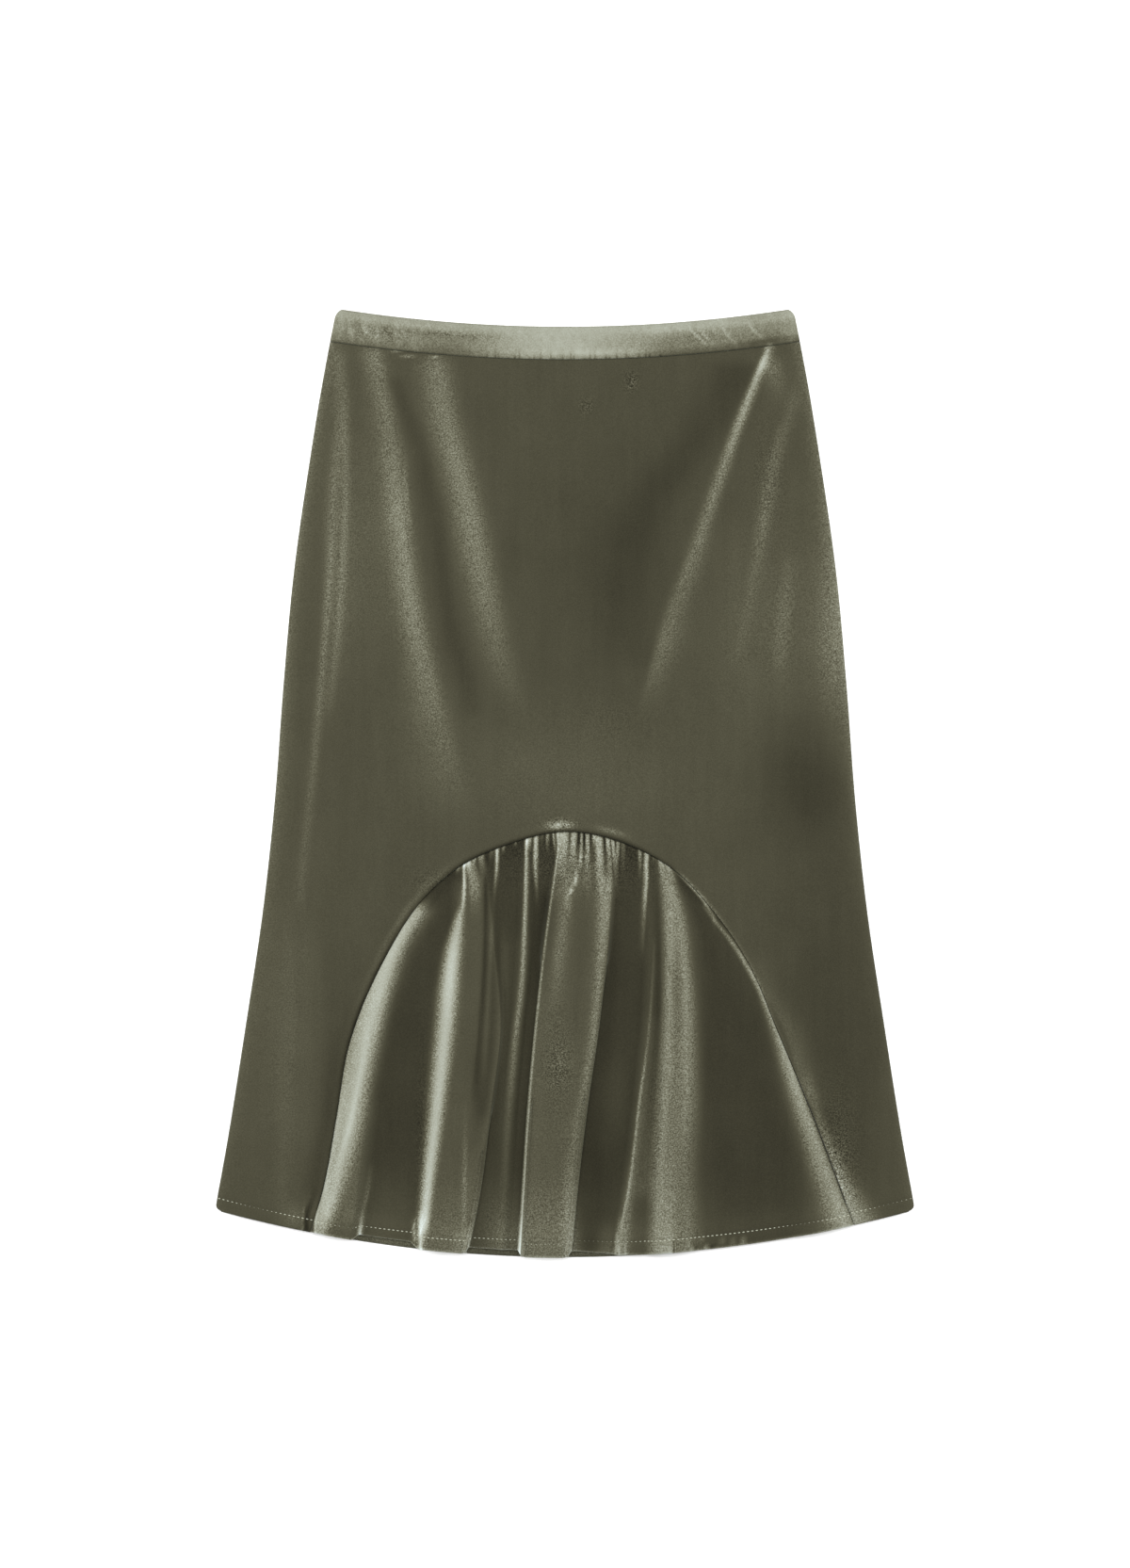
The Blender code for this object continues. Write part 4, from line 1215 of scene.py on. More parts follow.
@dataclass
class Godet:
    """The flared insert gathered into the arch, which falls in folds.

    Attributes:
        tuck_path: Points on a tucked side: sideways by the tuck and by the height, and up.
        slope_tones, tuck_tones: Painted light and shade across a plain side and a tucked one, as
        shares of the crest's tone; below 0, the painted shade under a tuck.
        tucked: How far a side is tucked, by the fold's height.
        tuck_slope, tuck_slope_power: How steep such a side is before it is tucked, and how its painted
        shade darkens it.
        merge: Share of the length over which the folds open below the arch.
        edge_path: Points from the seam to the nearest crest, as shares sideways and up.
        seam_heights: How high the godet lies at the seam, by x.
        corner_rise, corner_round, corner_gain: How a tucked fold's foot is rounded at its corners.
        valley_floor, valley_right, valley_left: Where the hem is drawn up, by height and by x.
        hem_power: How soon the hem's form fades above it.
        gather_lift, gather_glow: How the gathers' height and their painted highlights start at the seam.
        gather_depth: How far down the rows are close together.
            floor_tone, gather_tone: Painted shade in the valleys between the folds, and under the gathers.
            hem_glint, hem_glint_width, hem_glint_rise: A highlight painted along the folded hem, its
            half width, and how it grows with a fold's height.
    """

    outline: Outline
    arch: ArchSeam
    heights: ClothHeights
    length: float = 300.0
    slope_steps: int = 3
    slope_tones: Triple = (0.0, 0.5, 1.0)
    tuck_path: tuple[Triple, ...] = (
        (0.00, -0.30, 0.00), (0.75, 0.00, 0.00), (1.00, 0.00, 0.15), (0.70, 0.00, 0.30),
        (0.00, 0.00, 0.32), (0.00, -0.10, 0.64), (0.00, 0.22, 1.00),
    )
    tuck_tones: Steps = (0.0, -0.2, -0.3, -0.3, -0.1, 0.9, 1.0)
    tucked: Rise = Rise(4.6, 6.8)
    tuck_slope: float = 0.6
    tuck_slope_power: int = 4
    merge: float = 0.10
    feet_apart: float = 1.2
    floor_path: Triple = (0.25, 0.5, 0.75)
    crest_bulge: float = 0.04
    edge_path: tuple[Pair, ...] = ((0.0, 0.0), (0.10, 0.28), (0.30, 0.64), (0.60, 0.91))
    seam_heights: tuple[Pair, ...] = ((60, 0.9), (92, 1.6), (150, 1.6), (190, 0.9))
    seam_dip: float = 0.6
    seam_roll: float = 3.0
    corner_rise: float = 5.0
    corner_round: float = 6.0
    corner_gain: float = 2.0
    valley_rise: float = 4.5
    valley_floor: Rise = Rise(7.5, 0.0)
    valley_right: Rise = Rise(60.0, 0.0)
    valley_left: Rise = Rise(-185.0, -155.0)
    hem_power: int = 24
    floor_tone: float = 0.235
    gather_tone: float = 0.20
    gathers_end: float = 30.0
    gather_lift: Rise = Rise(0.0, 4.0, low=0.45)
    gather_glow: Rise = Rise(0.0, 1.2, low=0.6)
    gather_depth: float = 46.0
    hem_light: Rise = Rise(-270.0, -340.0, high=0.08)
    hem_glint: float = 0.32
    hem_glint_width: float = 1.0
    hem_glint_rise: Rise = Rise(1.8, 7.8, low=0.8)
    column_steps: int = 4
    middle_rows: int = 64
    gather_rows: int = 32
    thread: Thread = Thread()

    def side(self, reach: float, tuck: float, height: float) -> Array:
        """One side of a fold, from its foot to its crest's edge.

        Args:
            reach: How far its slope runs.
            tuck: How far it is tucked back under its own edge.
            height: The fold's height.

        Returns:
            Its points: sideways from the crest's edge, up, and the share of the crest's tone.
        """
        if tuck == 0:
            share = np.linspace(0.0, 1.0, self.slope_steps)
            return np.stack([-reach * (1 - share), height * ease(share), self.slope_tones], axis=-1)
        share = np.linspace(0.0, 1.0, len(self.tuck_path))
        slope = -self.tuck_slope * reach * (1 - share)
        plain = np.stack([slope, height * ease(share), share**self.tuck_slope_power], axis=-1)
        by_tuck, by_height, up = np.array(self.tuck_path).T
        tucked = np.stack([by_tuck * tuck + by_height * height, up * height, self.tuck_tones], axis=-1)
        return plain + (tucked - plain) * self.tucked.at(height)

    def fold_section(self, fold: Fold, place: Triple, rooms: Pair) -> Array:
        """One fold in a row.

        Args:
            fold: The fold.
            place: The x of its crest's two edges, and its height.
            rooms: Room for its slopes on the left and on the right.

        Returns:
            Its points from left to right, as x, height and lightness.
        """
        left, right, height = place
        rising = self.side(min(fold.reach_left, rooms[0]), fold.tuck_left, height)
        falling = self.side(min(fold.reach_right, rooms[1]), fold.tuck_right, height)
        share = np.array(fold.crest)
        bulge = height * (1 + self.crest_bulge * 4 * share * (1 - share))
        crest = np.stack([left + (right - left) * share, bulge, np.ones_like(share)], axis=-1)
        falling = (falling * (-1, 1, 1) + (right, 0, 0))[::-1]
        points = np.concatenate([rising + (left, 0, 0), crest, falling])
        # Painted light and shade across the fold, from the darker valley floor to its paler crest.
        points[:, 2] = self.floor_tone + (fold.tone - self.floor_tone) * points[:, 2]
        return points

    def edge_section(self, seam_x: float, crest: Array) -> Array:
        """The end of a row, from the seam to the crest beside it.

        Args:
            seam_x: Where the seam is.
            crest: The crest's x, height and lightness.

        Returns:
            Points on it from the seam in, as x, height and lightness.
        """
        seam = np.array([seam_x, from_table(self.seam_heights, seam_x), crest[2]])
        shares = np.array([(*shares, 0.0) for shares in self.edge_path])
        return seam + (crest - seam) * shares

    def section(self, line: Line, start: float, end: float) -> Array:
        """Points across the godet between its two edges, as x, height and lightness.

        Args:
            line: Height of the row at x.
            start: The x of its left edge.
            end: The x of its right edge.

        Returns:
            The row's points.
        """
        places = [fold.edges(line) for fold in FOLDS.values()]
        rooms = [
            (after[0] - before[1] - self.feet_apart) / 2 for before, after in zip(places, places[1:])
        ]
        floor = np.array(self.floor_path)[:, None]
        parts = []
        for fold, place, *beside in zip(FOLDS.values(), places, [0.0, *rooms], [*rooms, 0.0]):
            part = self.fold_section(fold, place, beside)
            if parts:
                last = parts[-1][-1]
                parts.append(last + (part[0] - last) * floor)
            parts.append(part)
        points = np.concatenate(parts)[self.slope_steps - 1: 1 - self.slope_steps]
        left, right = self.edge_section(start, points[0]), self.edge_section(end, points[-1])
        return refine(np.concatenate([left, points, right[::-1]]), self.column_steps)

    def shares(self) -> Array:
        """Where the rows are.

        Returns:
            Their shares of the length from the arch, from the hem up.
        """
        low, high = self.heights.hem_rows[-1], self.length - self.gather_depth
        middle = np.linspace(low, high, self.middle_rows + 1)[1:]
        top = np.linspace(high, self.length, self.gather_rows + 1)[1:]
        return 1 - np.concatenate([self.heights.hem_rows, middle, top]) / self.length

    def gathers(self, x: Array, below: float) -> tuple[Array, Array]:
        """What the small tucks below the seam add to a row.

        Args:
            x: Where the row's points are.
            below: Length below the seam.

        Returns:
            Height at each point, and the highlight and shade painted on the tucks.
        """
        lift = sum(tuck.height * tuck.at(x, below) for tuck in GATHERS)
        pale = sum(tuck.pale * tuck.at(x, below) for tuck in GATHERS)
        return lift * self.gather_lift.at(below), pale * self.gather_glow.at(below)

    def row_line(self, share: float, left: Array, right: Array) -> Line:
        """The height of a row at any x: the arch at the top and the hem at the foot.

        Args:
            share: Share of the length from the arch.
            left: The row's left end, on the seam.
            right: Its right end.

        Returns:
            A function of x.
        """
        ends = self.arch.lengths()[[self.arch.godet_left, self.arch.godet_right]]
        seam_x, seam_y = self.arch.point(np.linspace(*ends, self.arch.samples), self.heights.gap).T
        foot_left = self.arch.x[0] + self.heights.gap
        foot_right = self.arch.x[-1] - self.heights.gap

        def blended(inside: Array) -> Array:
            """Between the arch and the hem.

            Args:
                inside: How far across the row, from 0 to 1.

            Returns:
                The height there.
            """
            top = np.interp(seam_x[0] + inside * (seam_x[-1] - seam_x[0]), seam_x, seam_y)
            foot = self.outline.hem.at(foot_left + inside * (foot_right - foot_left))
            return top + (foot - top) * share

        def line(x: Array) -> Array:
            """The row's height, which meets the seam at both ends.

            Args:
                x: Where to read it.

            Returns:
                The height there.
            """
            inside = np.clip((x - left[0]) / (right[0] - left[0]), 0.0, 1.0)
            ends_off = (left[1] - blended(0.0)) * (1 - inside) + (right[1] - blended(1.0)) * inside
            return blended(inside) + ends_off

        return line

    def hem_shape(self, x: Array, height: Array, line: Line) -> Array:
        """How far the hem is drawn up, in the valleys and at the folds' corners.

        Args:
            x: Where the row's points are.
            height: Their heights on the folds.
            line: Height of the row at x.

        Returns:
            The rise at each point.
        """
        drawn = self.valley_rise * self.valley_floor.at(height)
        drawn = drawn * self.valley_right.at(x) * self.valley_left.at(x)
        for fold in FOLDS.values():
            left, right, top = fold.edges(line)
            for edge, way, tuck in ((left, 1, fold.tuck_left), (right, -1, fold.tuck_right)):
                if tuck:
                    inside = (x - edge) * way
                    near = quarter_round(inside, self.corner_round) * (inside > -tuck)
                    drawn = drawn + self.corner_rise * near * ease(self.corner_gain * height / top)
        return drawn

    def pile(self, x: Array, y: Array, section: Array, below: float) -> Array:
        """Lightness of the pile in a row: its own tone with painted light and shade.

        Args:
            x: Where the row's points are.
            y: Their heights on the skirt.
            section: The row's x, height and lightness from its folds.
            below: Length below the arch seam.

        Returns:
            The lightness at each point.
        """
        above = self.length - below
        # Painted shade under the gathers, and painted highlights along the folds, the hem's tucks and the
        # folded hem.
        tone = self.gather_tone + (section[:, 2] - self.gather_tone) * ease(below / self.gathers_end)
        tone = total((*GODET_PAINTED_LIGHT_STREAKS.values(), *FOLDS.values()), x, y, tone + self.hem_light.at(y))
        tone = tone + sum(tuck.pale * tuck.at(x, above) for tuck in HEM_TUCKS_PAINTED_LIGHT)
        glint = self.hem_glint * bell(above, self.hem_glint_width)
        return tone + glint * self.hem_glint_rise.at(section[:, 1])

    def row(self, share: float) -> tuple[Array, Array]:
        """One row of the grid.

        Args:
            share: Share of the length from the arch.

        Returns:
            The row's points from left to right, and the pile's lightness there, with painted light and
            shade.
        """
        lengths, gap = self.arch.lengths(), self.heights.gap
        top_left, top_right, end = lengths[[self.arch.godet_left, self.arch.godet_right, -1]]
        left = self.arch.point(top_left * (1 - share), gap)
        right = self.arch.point(end + (top_right - end) * (1 - share), gap)
        line = self.row_line(share, left, right)
        section = self.section(line, left[0], right[0])
        opened = float(ease(share / self.merge))
        if opened < 1:
            even = np.linspace(left[0], right[0], len(section))
            x = even + (section[:, 0] - even) * opened
            folds = [np.interp(x, section[:, 0], section[:, part]) for part in (1, 2)]
            section = np.stack([x, *folds], axis=-1)
        x, below, above = section[:, 0], share * self.length, (1 - share) * self.length
        y = line(x) + share**self.hem_power * self.hem_shape(x, section[:, 1], line)
        hem_lift = (self.heights.hem_top - self.heights.low_top) * self.heights.hem_rise(above)
        foot = from_table(self.seam_heights, x)
        lift, pale = self.gathers(x, below)
        z = self.heights.low_top + hem_lift + foot + (section[:, 1] - foot) * opened + lift
        z = z - self.heights.hem_dip(above) - self.seam_dip * quarter_round(below, self.seam_roll)
        return np.stack([x, y, z], axis=-1), self.pile(x, y, section, below) + pale

    def grid(self) -> ClothGrid:
        """The godet's outer side.

        Returns:
            Its grid, with rows from the hem up and columns from left to right.
        """
        shares = self.shares()
        rows, tones_and_painted_light = zip(*(self.row(share) for share in shares))
        points, tone_and_painted_light = np.stack(rows), np.stack(tones_and_painted_light)
        below = np.broadcast_to((shares * self.length)[:, None], tone_and_painted_light.shape)
        from_ends = [np.linalg.norm(points - points[:, end, None], axis=-1) for end in (0, -1)]
        edges = np.minimum(below, np.minimum(*from_ends))
        grit = total(GODET_RUFFLED.values(), points[..., 0], points[..., 1])
        return ClothGrid(points, tone_and_painted_light, grit, self.heights.thickness(self.length - below, edges))

    def build(self, velvet: Finish, sewing: Finish) -> list[Piece]:
        """Makes the godet and its stitches.

        Args:
            velvet: The godet's finish.
            sewing: The finish of the hem's thread.

        Returns:
            The cloth, then its row of stitches.
        """
        grid = self.grid()
        row = self.heights.hem_rows.index(self.heights.stitch_line)
        cloth = add_cloth("godet_cloth", grid, self.heights, Face.UPPER, velvet)
        stitches = self.thread.build("godet_hem_stitches", grid.points[row], sewing)
        return fit([cloth, stitches], Slot.GODET, "godet")


@dataclass
class BackPanel:
    """The plain back of the skirt, which rests flat on the surface.

    Attributes:
        mottle, mottle_length: How much its tone wanders, and over what.
        hem_light: Painted light at the hem: how much paler it is, by height above it.
        edge_crowding: How much closer the columns are at the sides.
        edge_lift, edge_roll: How far its edges turn up, and over what.
        stitch_inset: Points of the stitched line that are left out at each end.
    """

    outline: Outline
    heights: ClothHeights
    tone: float = 0.31
    mottle: float = 0.03
    mottle_length: float = 60.0
    hem_light: Rise = Rise(24.0, 16.0, high=0.07)
    columns: int = 150
    rows: int = 90
    hem_steps: Steps = (0, 0.5, 1.2, 2.2, 4.0, 6.5, 8.4, 9.5, 10.6, 12.5, 15.5)
    edge_crowding: float = 0.75
    edge_lift: float = 0.8
    edge_roll: float = 2.2
    stitch_inset: int = 2
    thread: Thread = Thread()

    def grid(self) -> ClothGrid:
        """The panel's outer side, which is its lower one.

        Returns:
            Its grid, with rows from the hem up.
        """
        even = np.linspace(-1.0, 1.0, self.columns + 1)
        across = np.sin(even * math.pi / 2) * self.edge_crowding + even * (1 - self.edge_crowding)
        hem, seam, gap = self.outline.hem, self.outline.seam, self.heights.gap
        places = [(above, 0.0) for above in self.hem_steps]
        places += [(self.hem_steps[-1], share) for share in np.linspace(0.0, 1.0, self.rows + 1)[1:]]
        rows = [
            self.outline.row(
                across, lambda x: (hem.at(x) + above) * (1 - share) + (seam.at(x) - gap) * share
            )
            for above, share in places
        ]
        x, y = np.stack(rows, axis=1)
        above = y - hem.at(x)
        side = np.minimum(self.outline.from_side(x, y), seam.at(x) - y)
        z = self.edge_lift * quarter_round(np.minimum(side, above), self.edge_roll)
        tone = self.tone + self.mottle * ripples(x, y, self.mottle_length) + self.hem_light.at(above)
        wall = self.heights.thickness(above, side)
        return ClothGrid(np.stack([x, y, z], axis=-1), tone, np.zeros_like(x), wall)

    def build(self, velvet: Finish, sewing: Finish) -> list[Piece]:
        """Makes the panel and its stitches, which lie on the inner side of the cloth.

        Args:
            velvet: The panel's finish.
            sewing: The finish of the hem's thread.

        Returns:
            The cloth, then its row of stitches.
        """
        grid = self.grid()
        cloth = add_cloth("back_panel_cloth", grid, self.heights, Face.LOWER, velvet)
        line = grid.points[self.hem_steps.index(self.heights.stitch_line)].copy()
        line[:, 2] = 2 * self.heights.wall
        line = line[self.stitch_inset: -self.stitch_inset]
        return fit([cloth, self.thread.build("back_hem_stitches", line, sewing)], Slot.BACK, "back_panel")


@dataclass(frozen=True)
class Creases:
    """Like creases pressed across the casing by its elastic.

    Attributes:
        places: Where the middle of each is, along the band and up from the seam.
        width: Half a crease's width.
        reach: Half its length.
        gain: How far it stands up.
        slant: How far it moves to the left for each millimetre up.
    """

    places: tuple[Pair, ...]
    width: float
    reach: float
    gain: float
    slant: float = 0.0

    def at(self, x: Array, y: Array) -> Array:
        """Height that they add.

        Args:
            x: The points' x.
            y: Their heights above the seam.

        Returns:
            The height at each point.
        """
        return self.gain * sum(
            bell(x - place + self.slant * (y - middle), self.width) * bell(y - middle, self.reach)
            for place, middle in self.places
        )


@dataclass(frozen=True)
class PaintedNipShadows:
    """Short marks of painted shade where the casing is caught into its seam.

    Attributes:
        wander, wander_turn: How far they stray from their places, and how that changes.
        reach_change, reach_turn: How much their reach up differs, and how that changes.
    """

    count: int = 26
    start: float = -58.0
    pitch: float = 5.1
    wander: float = 1.7
    wander_turn: float = 2.3
    reach: float = 3.2
    reach_change: float = 2.2
    reach_turn: float = 1.7
    width: float = 0.75
    shade: float = 0.16

    def at(self, x: Array, y: Array) -> Array:
        """Change of lightness.

        Args:
            x: The points' x.
            y: Their heights above the seam.

        Returns:
            The change at each point.
        """
        painted_nip_shadows = np.zeros_like(x)
        for number in range(self.count):
            place = self.start + self.pitch * number + self.wander * math.sin(number * self.wander_turn)
            reach = self.reach + self.reach_change * math.sin(number * self.reach_turn)
            painted_nip_shadows = painted_nip_shadows - self.shade * bell(x - place, self.width) * bell(y, reach)
        return painted_nip_shadows


# On the waistband y is the height above its seam. Its paler and darker patches and streaks are
# painted light and shade on its rolls and creases.
BAND_PAINTED_LIGHT_PATCHES: dict[str, PaintedLightAndGritPatch] = {
    "left crease": PaintedLightAndGritPatch(-88, 13.5, 32, 1.8, -0.06),
    "left belly": PaintedLightAndGritPatch(-78, 3.0, 24, 3.0, -0.05),
    "left end": PaintedLightAndGritPatch(-170, 10.0, 8, 9.0, 0.06),
    "right crease": PaintedLightAndGritPatch(146, 4.0, 22, 2.6, -0.08),
    "right fold": PaintedLightAndGritPatch(118, 8.5, 26, 1.6, -0.03),
    "right belly": PaintedLightAndGritPatch(122, 6.5, 36, 2.6, 0.045),
    "middle belly": PaintedLightAndGritPatch(25, 4.6, 34, 2.8, 0.07),
    "middle": PaintedLightAndGritPatch(-8, 13, 34, 8, 0.03),
    "right top": PaintedLightAndGritPatch(148, 20.5, 22, 4, -0.05),
    "right end": PaintedLightAndGritPatch(170, 7.0, 7, 7.0, 0.09),
    "glint at the seam": PaintedLightAndGritPatch(152, 0.6, 3, 1.2, 0.14),
}
# Painted highlights on the band's creases and flecks, and painted shade in a dark nip.
BAND_PAINTED_LIGHT_STREAKS: dict[str, PaintedLightStreak] = {
    "slanting crease": PaintedLightStreak(((93, 17, 0.1), (100, 10.5, 0.2), (108, 3, 0.06)), (0.9,), (0.9,), 2, 2),
    "second crease": PaintedLightStreak(((99, 17.5, 0.06), (104, 12, 0.14), (109, 7, 0.04)), (0.9,), (0.9,), 2, 2),
    "third crease": PaintedLightStreak(((118, 14, 0.1), (122, 9, 0.12), (128, 3, 0.04)), (0.9,), (0.9,), 2, 2),
    "fourth crease": PaintedLightStreak(((137, 16, 0.12), (141, 11, 0.14), (145, 7, 0.04)), (0.9,), (0.9,), 2, 2),
    "upright crease": PaintedLightStreak(((-161, 15, 0.06), (-160, 9, 0.1), (-158, 3, 0.02)), (1.2,), (1.2,), 2, 2),
    "left fleck": PaintedLightStreak(((-150, 13, 0.08), (-146, 10, 0.12), (-140, 6, 0.06)), (2.0,), (1.2,), 2, 2),
    "inner fleck": PaintedLightStreak(((-124, 16, 0.06), (-121, 14, 0.12), (-118, 12, 0.04)), (1.4,), (1.4,), 2, 2),
    "dark nip": PaintedLightStreak(((-133, 14, -0.06), (-130, 10, -0.08), (-128, 6, -0.04)), (2.0,), (2.0,), 2, 2),
}
BAND_RUFFLED: dict[str, PaintedLightAndGritPatch] = {
    "left": PaintedLightAndGritPatch(-138, 10, 20, 4, 0.6),
    "left crease": PaintedLightAndGritPatch(-80, 14, 26, 2.0, 0.5),
    "right": PaintedLightAndGritPatch(105, 12, 20, 4, 0.3),
}
BAND_CREASES: dict[str, Creases] = {
    "upright": Creases(
        ((-166, 12), (-158, 9), (-148, 14), (-139, 8), (-126, 11), (-112, 7)), 2.2, 6.0, 0.42
    ),
    "slanting": Creases(
        ((100.1, 10), (105.1, 10), (123.1, 10), (142.1, 10), (153.1, 10), (161.1, 10)),
        1.0, 5.0, 0.34, slant=1.1,
    ),
}


@dataclass
class Waistband:
    """One half of the elastic casing, flat below and rolled at its edges.

    Attributes:
        bottom: Height of its flat side.
        painted_nip_shadows: Painted shadows where it is caught into its seam, if that shows.
        edge_roll, edge_share: How far its rolled edges reach in, and how thick it is there.
        crease_height, crease_level: How far its creases are raised, and the level they start from.
        fine, fine_scale, fine_length: Height and scale of its fine wrinkles.
        tone: Lightness of its pile, which lies the other way up from the panel's; it is painted
            paler for the light that this turned pile catches.
            centre_light, centre_top: Painted light: how much paler its middle is, and how much less so at
                the top.
            low, low_shade: Where the foot of its two ends is, and how much painted shade darkens it there,
                by x.
            right_light, right_top: Painted light: how much paler its right end is by x, and by height.
            crease_light, crease_tone: Painted highlight on a crease: how much paler it is, and from what
                height.
    """

    outline: Outline
    bottom: float
    painted_nip_shadows: PaintedNipShadows | None = None
    wall: float = 3.2
    depth: float = 23.0
    edge_roll: float = 5.0
    edge_share: float = 0.42
    middle_dip: float = 0.30
    middle_at: float = 9.5
    middle_width: float = 3.0
    crease_height: float = 0.8
    crease_level: float = 0.25
    fine: float = 0.10
    fine_scale: Pair = (3.2, 2.0)
    fine_length: float = 9.0
    tone: float = 0.51
    top_light: float = 0.15
    top: Rise = Rise(13.0, 19.0)
    centre_at: float = -2.0
    centre_half: float = 62.0
    centre_power: int = 4
    centre_light: float = 0.18
    centre_top: float = 0.12
    low: Rise = Rise(8.0, 1.0)
    low_shade: Rise = Rise(45.0, 70.0, 0.06, 0.11)
    seam_shade: float = 0.07
    seam_shade_at: float = 1.5
    seam_shade_width: float = 1.6
    right_light: Rise = Rise(45.0, 70.0, high=0.05)
    right_top: Rise = Rise(9.0, 13.0)
    crease_light: float = 0.16
    crease_tone: float = 0.15
    rim_shade: float = 0.05
    rim_width: float = 0.7
    foot_shade: Rise = Rise(1.4, 0.0, high=0.07)
    columns: int = 420
    steps: Steps = (
        0, 0.25, 0.6, 1.1, 1.8, 2.7, 3.8, 5.2, 6.8, 8.5, 10.2, 12, 13.8, 15.6, 17.2, 18.6, 19.8,
        20.8, 21.6, 22.2, 22.6, 22.85, 23,
    )

    def creases(self, x: Array, above: Array) -> Array:
        """Height of the creases over the elastic, and of the fine wrinkles between them.

        Args:
            x: The points' x.
            above: Their heights above the seam.

        Returns:
            The height at each point.
        """
        wrinkles = ripples(x * self.fine_scale[0], above * self.fine_scale[1], self.fine_length)
        return total(BAND_CREASES.values(), x, above, self.fine * wrinkles)

    def pile(self, x: Array, above: Array) -> Array:
        """Lightness of the pile: its own tone with painted light and shade.

        Args:
            x: The points' x.
            above: Their heights above the seam.

        Returns:
            The lightness at each point.
        """
        # Painted light and shade: paler at the top, in the middle and at the right, darker at the foot of
        # its ends, along its seam, under its top edge and where it is caught into the seam, paler on its
        # creases.
        top = self.top.at(above)
        centre = np.exp(-(np.abs((x - self.centre_at) / self.centre_half) ** self.centre_power))
        tone = self.tone + self.top_light * top + centre * (self.centre_light - self.centre_top * top)
        tone = tone - (1 - centre) * self.low.at(above) * self.low_shade.at(x)
        tone = tone - self.seam_shade * centre * bell(above - self.seam_shade_at, self.seam_shade_width)
        tone = tone + self.right_light.at(x) * self.right_top.at(above)
        tone = total((*BAND_PAINTED_LIGHT_PATCHES.values(), *BAND_PAINTED_LIGHT_STREAKS.values()), x, above, tone)
        tone = tone + self.crease_light * (self.creases(x, above) - self.crease_tone)
        tone = tone - self.rim_shade * bell(self.depth - above, self.rim_width)
        painted_nip_shadows = self.painted_nip_shadows.at(x, above) if self.painted_nip_shadows else 0.0
        return tone - self.foot_shade.at(above) + painted_nip_shadows

    def grid(self) -> ClothGrid:
        """The upper side of this half.

        Returns:
            Its grid, with rows from the seam up.
        """
        across = np.linspace(-1.0, 1.0, self.columns + 1)
        above = np.array(self.steps)[:, None]
        seam, edge = self.outline.seam, self.outline.edge
        rows = [
            self.outline.row(across, lambda x: seam.at(x) + (edge.at(x) - seam.at(x)) * share)
            for share in above / self.depth
        ]
        x, y = np.stack(rows, axis=1)
        from_end = self.outline.half_width(y[:, -1:]) - np.abs(x)
        rim = np.minimum(np.minimum(above, self.depth - above), from_end)
        roll = quarter_round(rim, self.edge_roll)
        raised = self.crease_height * (self.creases(x, above) - self.crease_level)
        raised = raised - self.middle_dip * bell(above - self.middle_at, self.middle_width)
        z = self.bottom + self.wall * (1 - (1 - self.edge_share) * roll) + raised * (1 - roll)
        grit = total(BAND_RUFFLED.values(), x, above)
        return ClothGrid(np.stack([x, y, z], axis=-1), self.pile(x, above), grit, np.ones_like(x))

    def build(self, node: str, velvet: Finish) -> list[Piece]:
        """Makes the half as a closed piece.

        Args:
            node: The solid that it stands for.
            velvet: Its finish.

        Returns:
            The piece alone.
        """
        bm = self.grid().bmesh()
        under = bmesh.ops.extrude_face_region(bm, geom=bm.faces[:])
        for item in under["geom"]:
            if isinstance(item, bmesh.types.BMVert):
                item.co.z = self.bottom * MM
        bmesh.ops.recalc_face_normals(bm, faces=bm.faces)
        cloth = add_piece(f"{node}_cloth", bm, velvet)
        cloth.data.set_sharp_from_angle(angle=SHARP_ANGLE)
        return fit([cloth], Slot.BAND, node)


def fit(pieces: list[Piece], slot: Slot, node: str) -> list[Piece]:
    """Puts the pieces of a sub-assembly on the body, and the first in place of its solid.

    Args:
        pieces: The pieces.
        slot: Their material slot. Not used.
        node: The solid that the first one stands for.

    Returns:
        The pieces.
    """
    for piece in pieces:
        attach(piece, BODY)
    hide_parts(node)
    return pieces


def opaque(colour: Triple) -> tuple[float, float, float, float]:
    """A colour as a socket takes it."""
    return (*colour, 1.0)


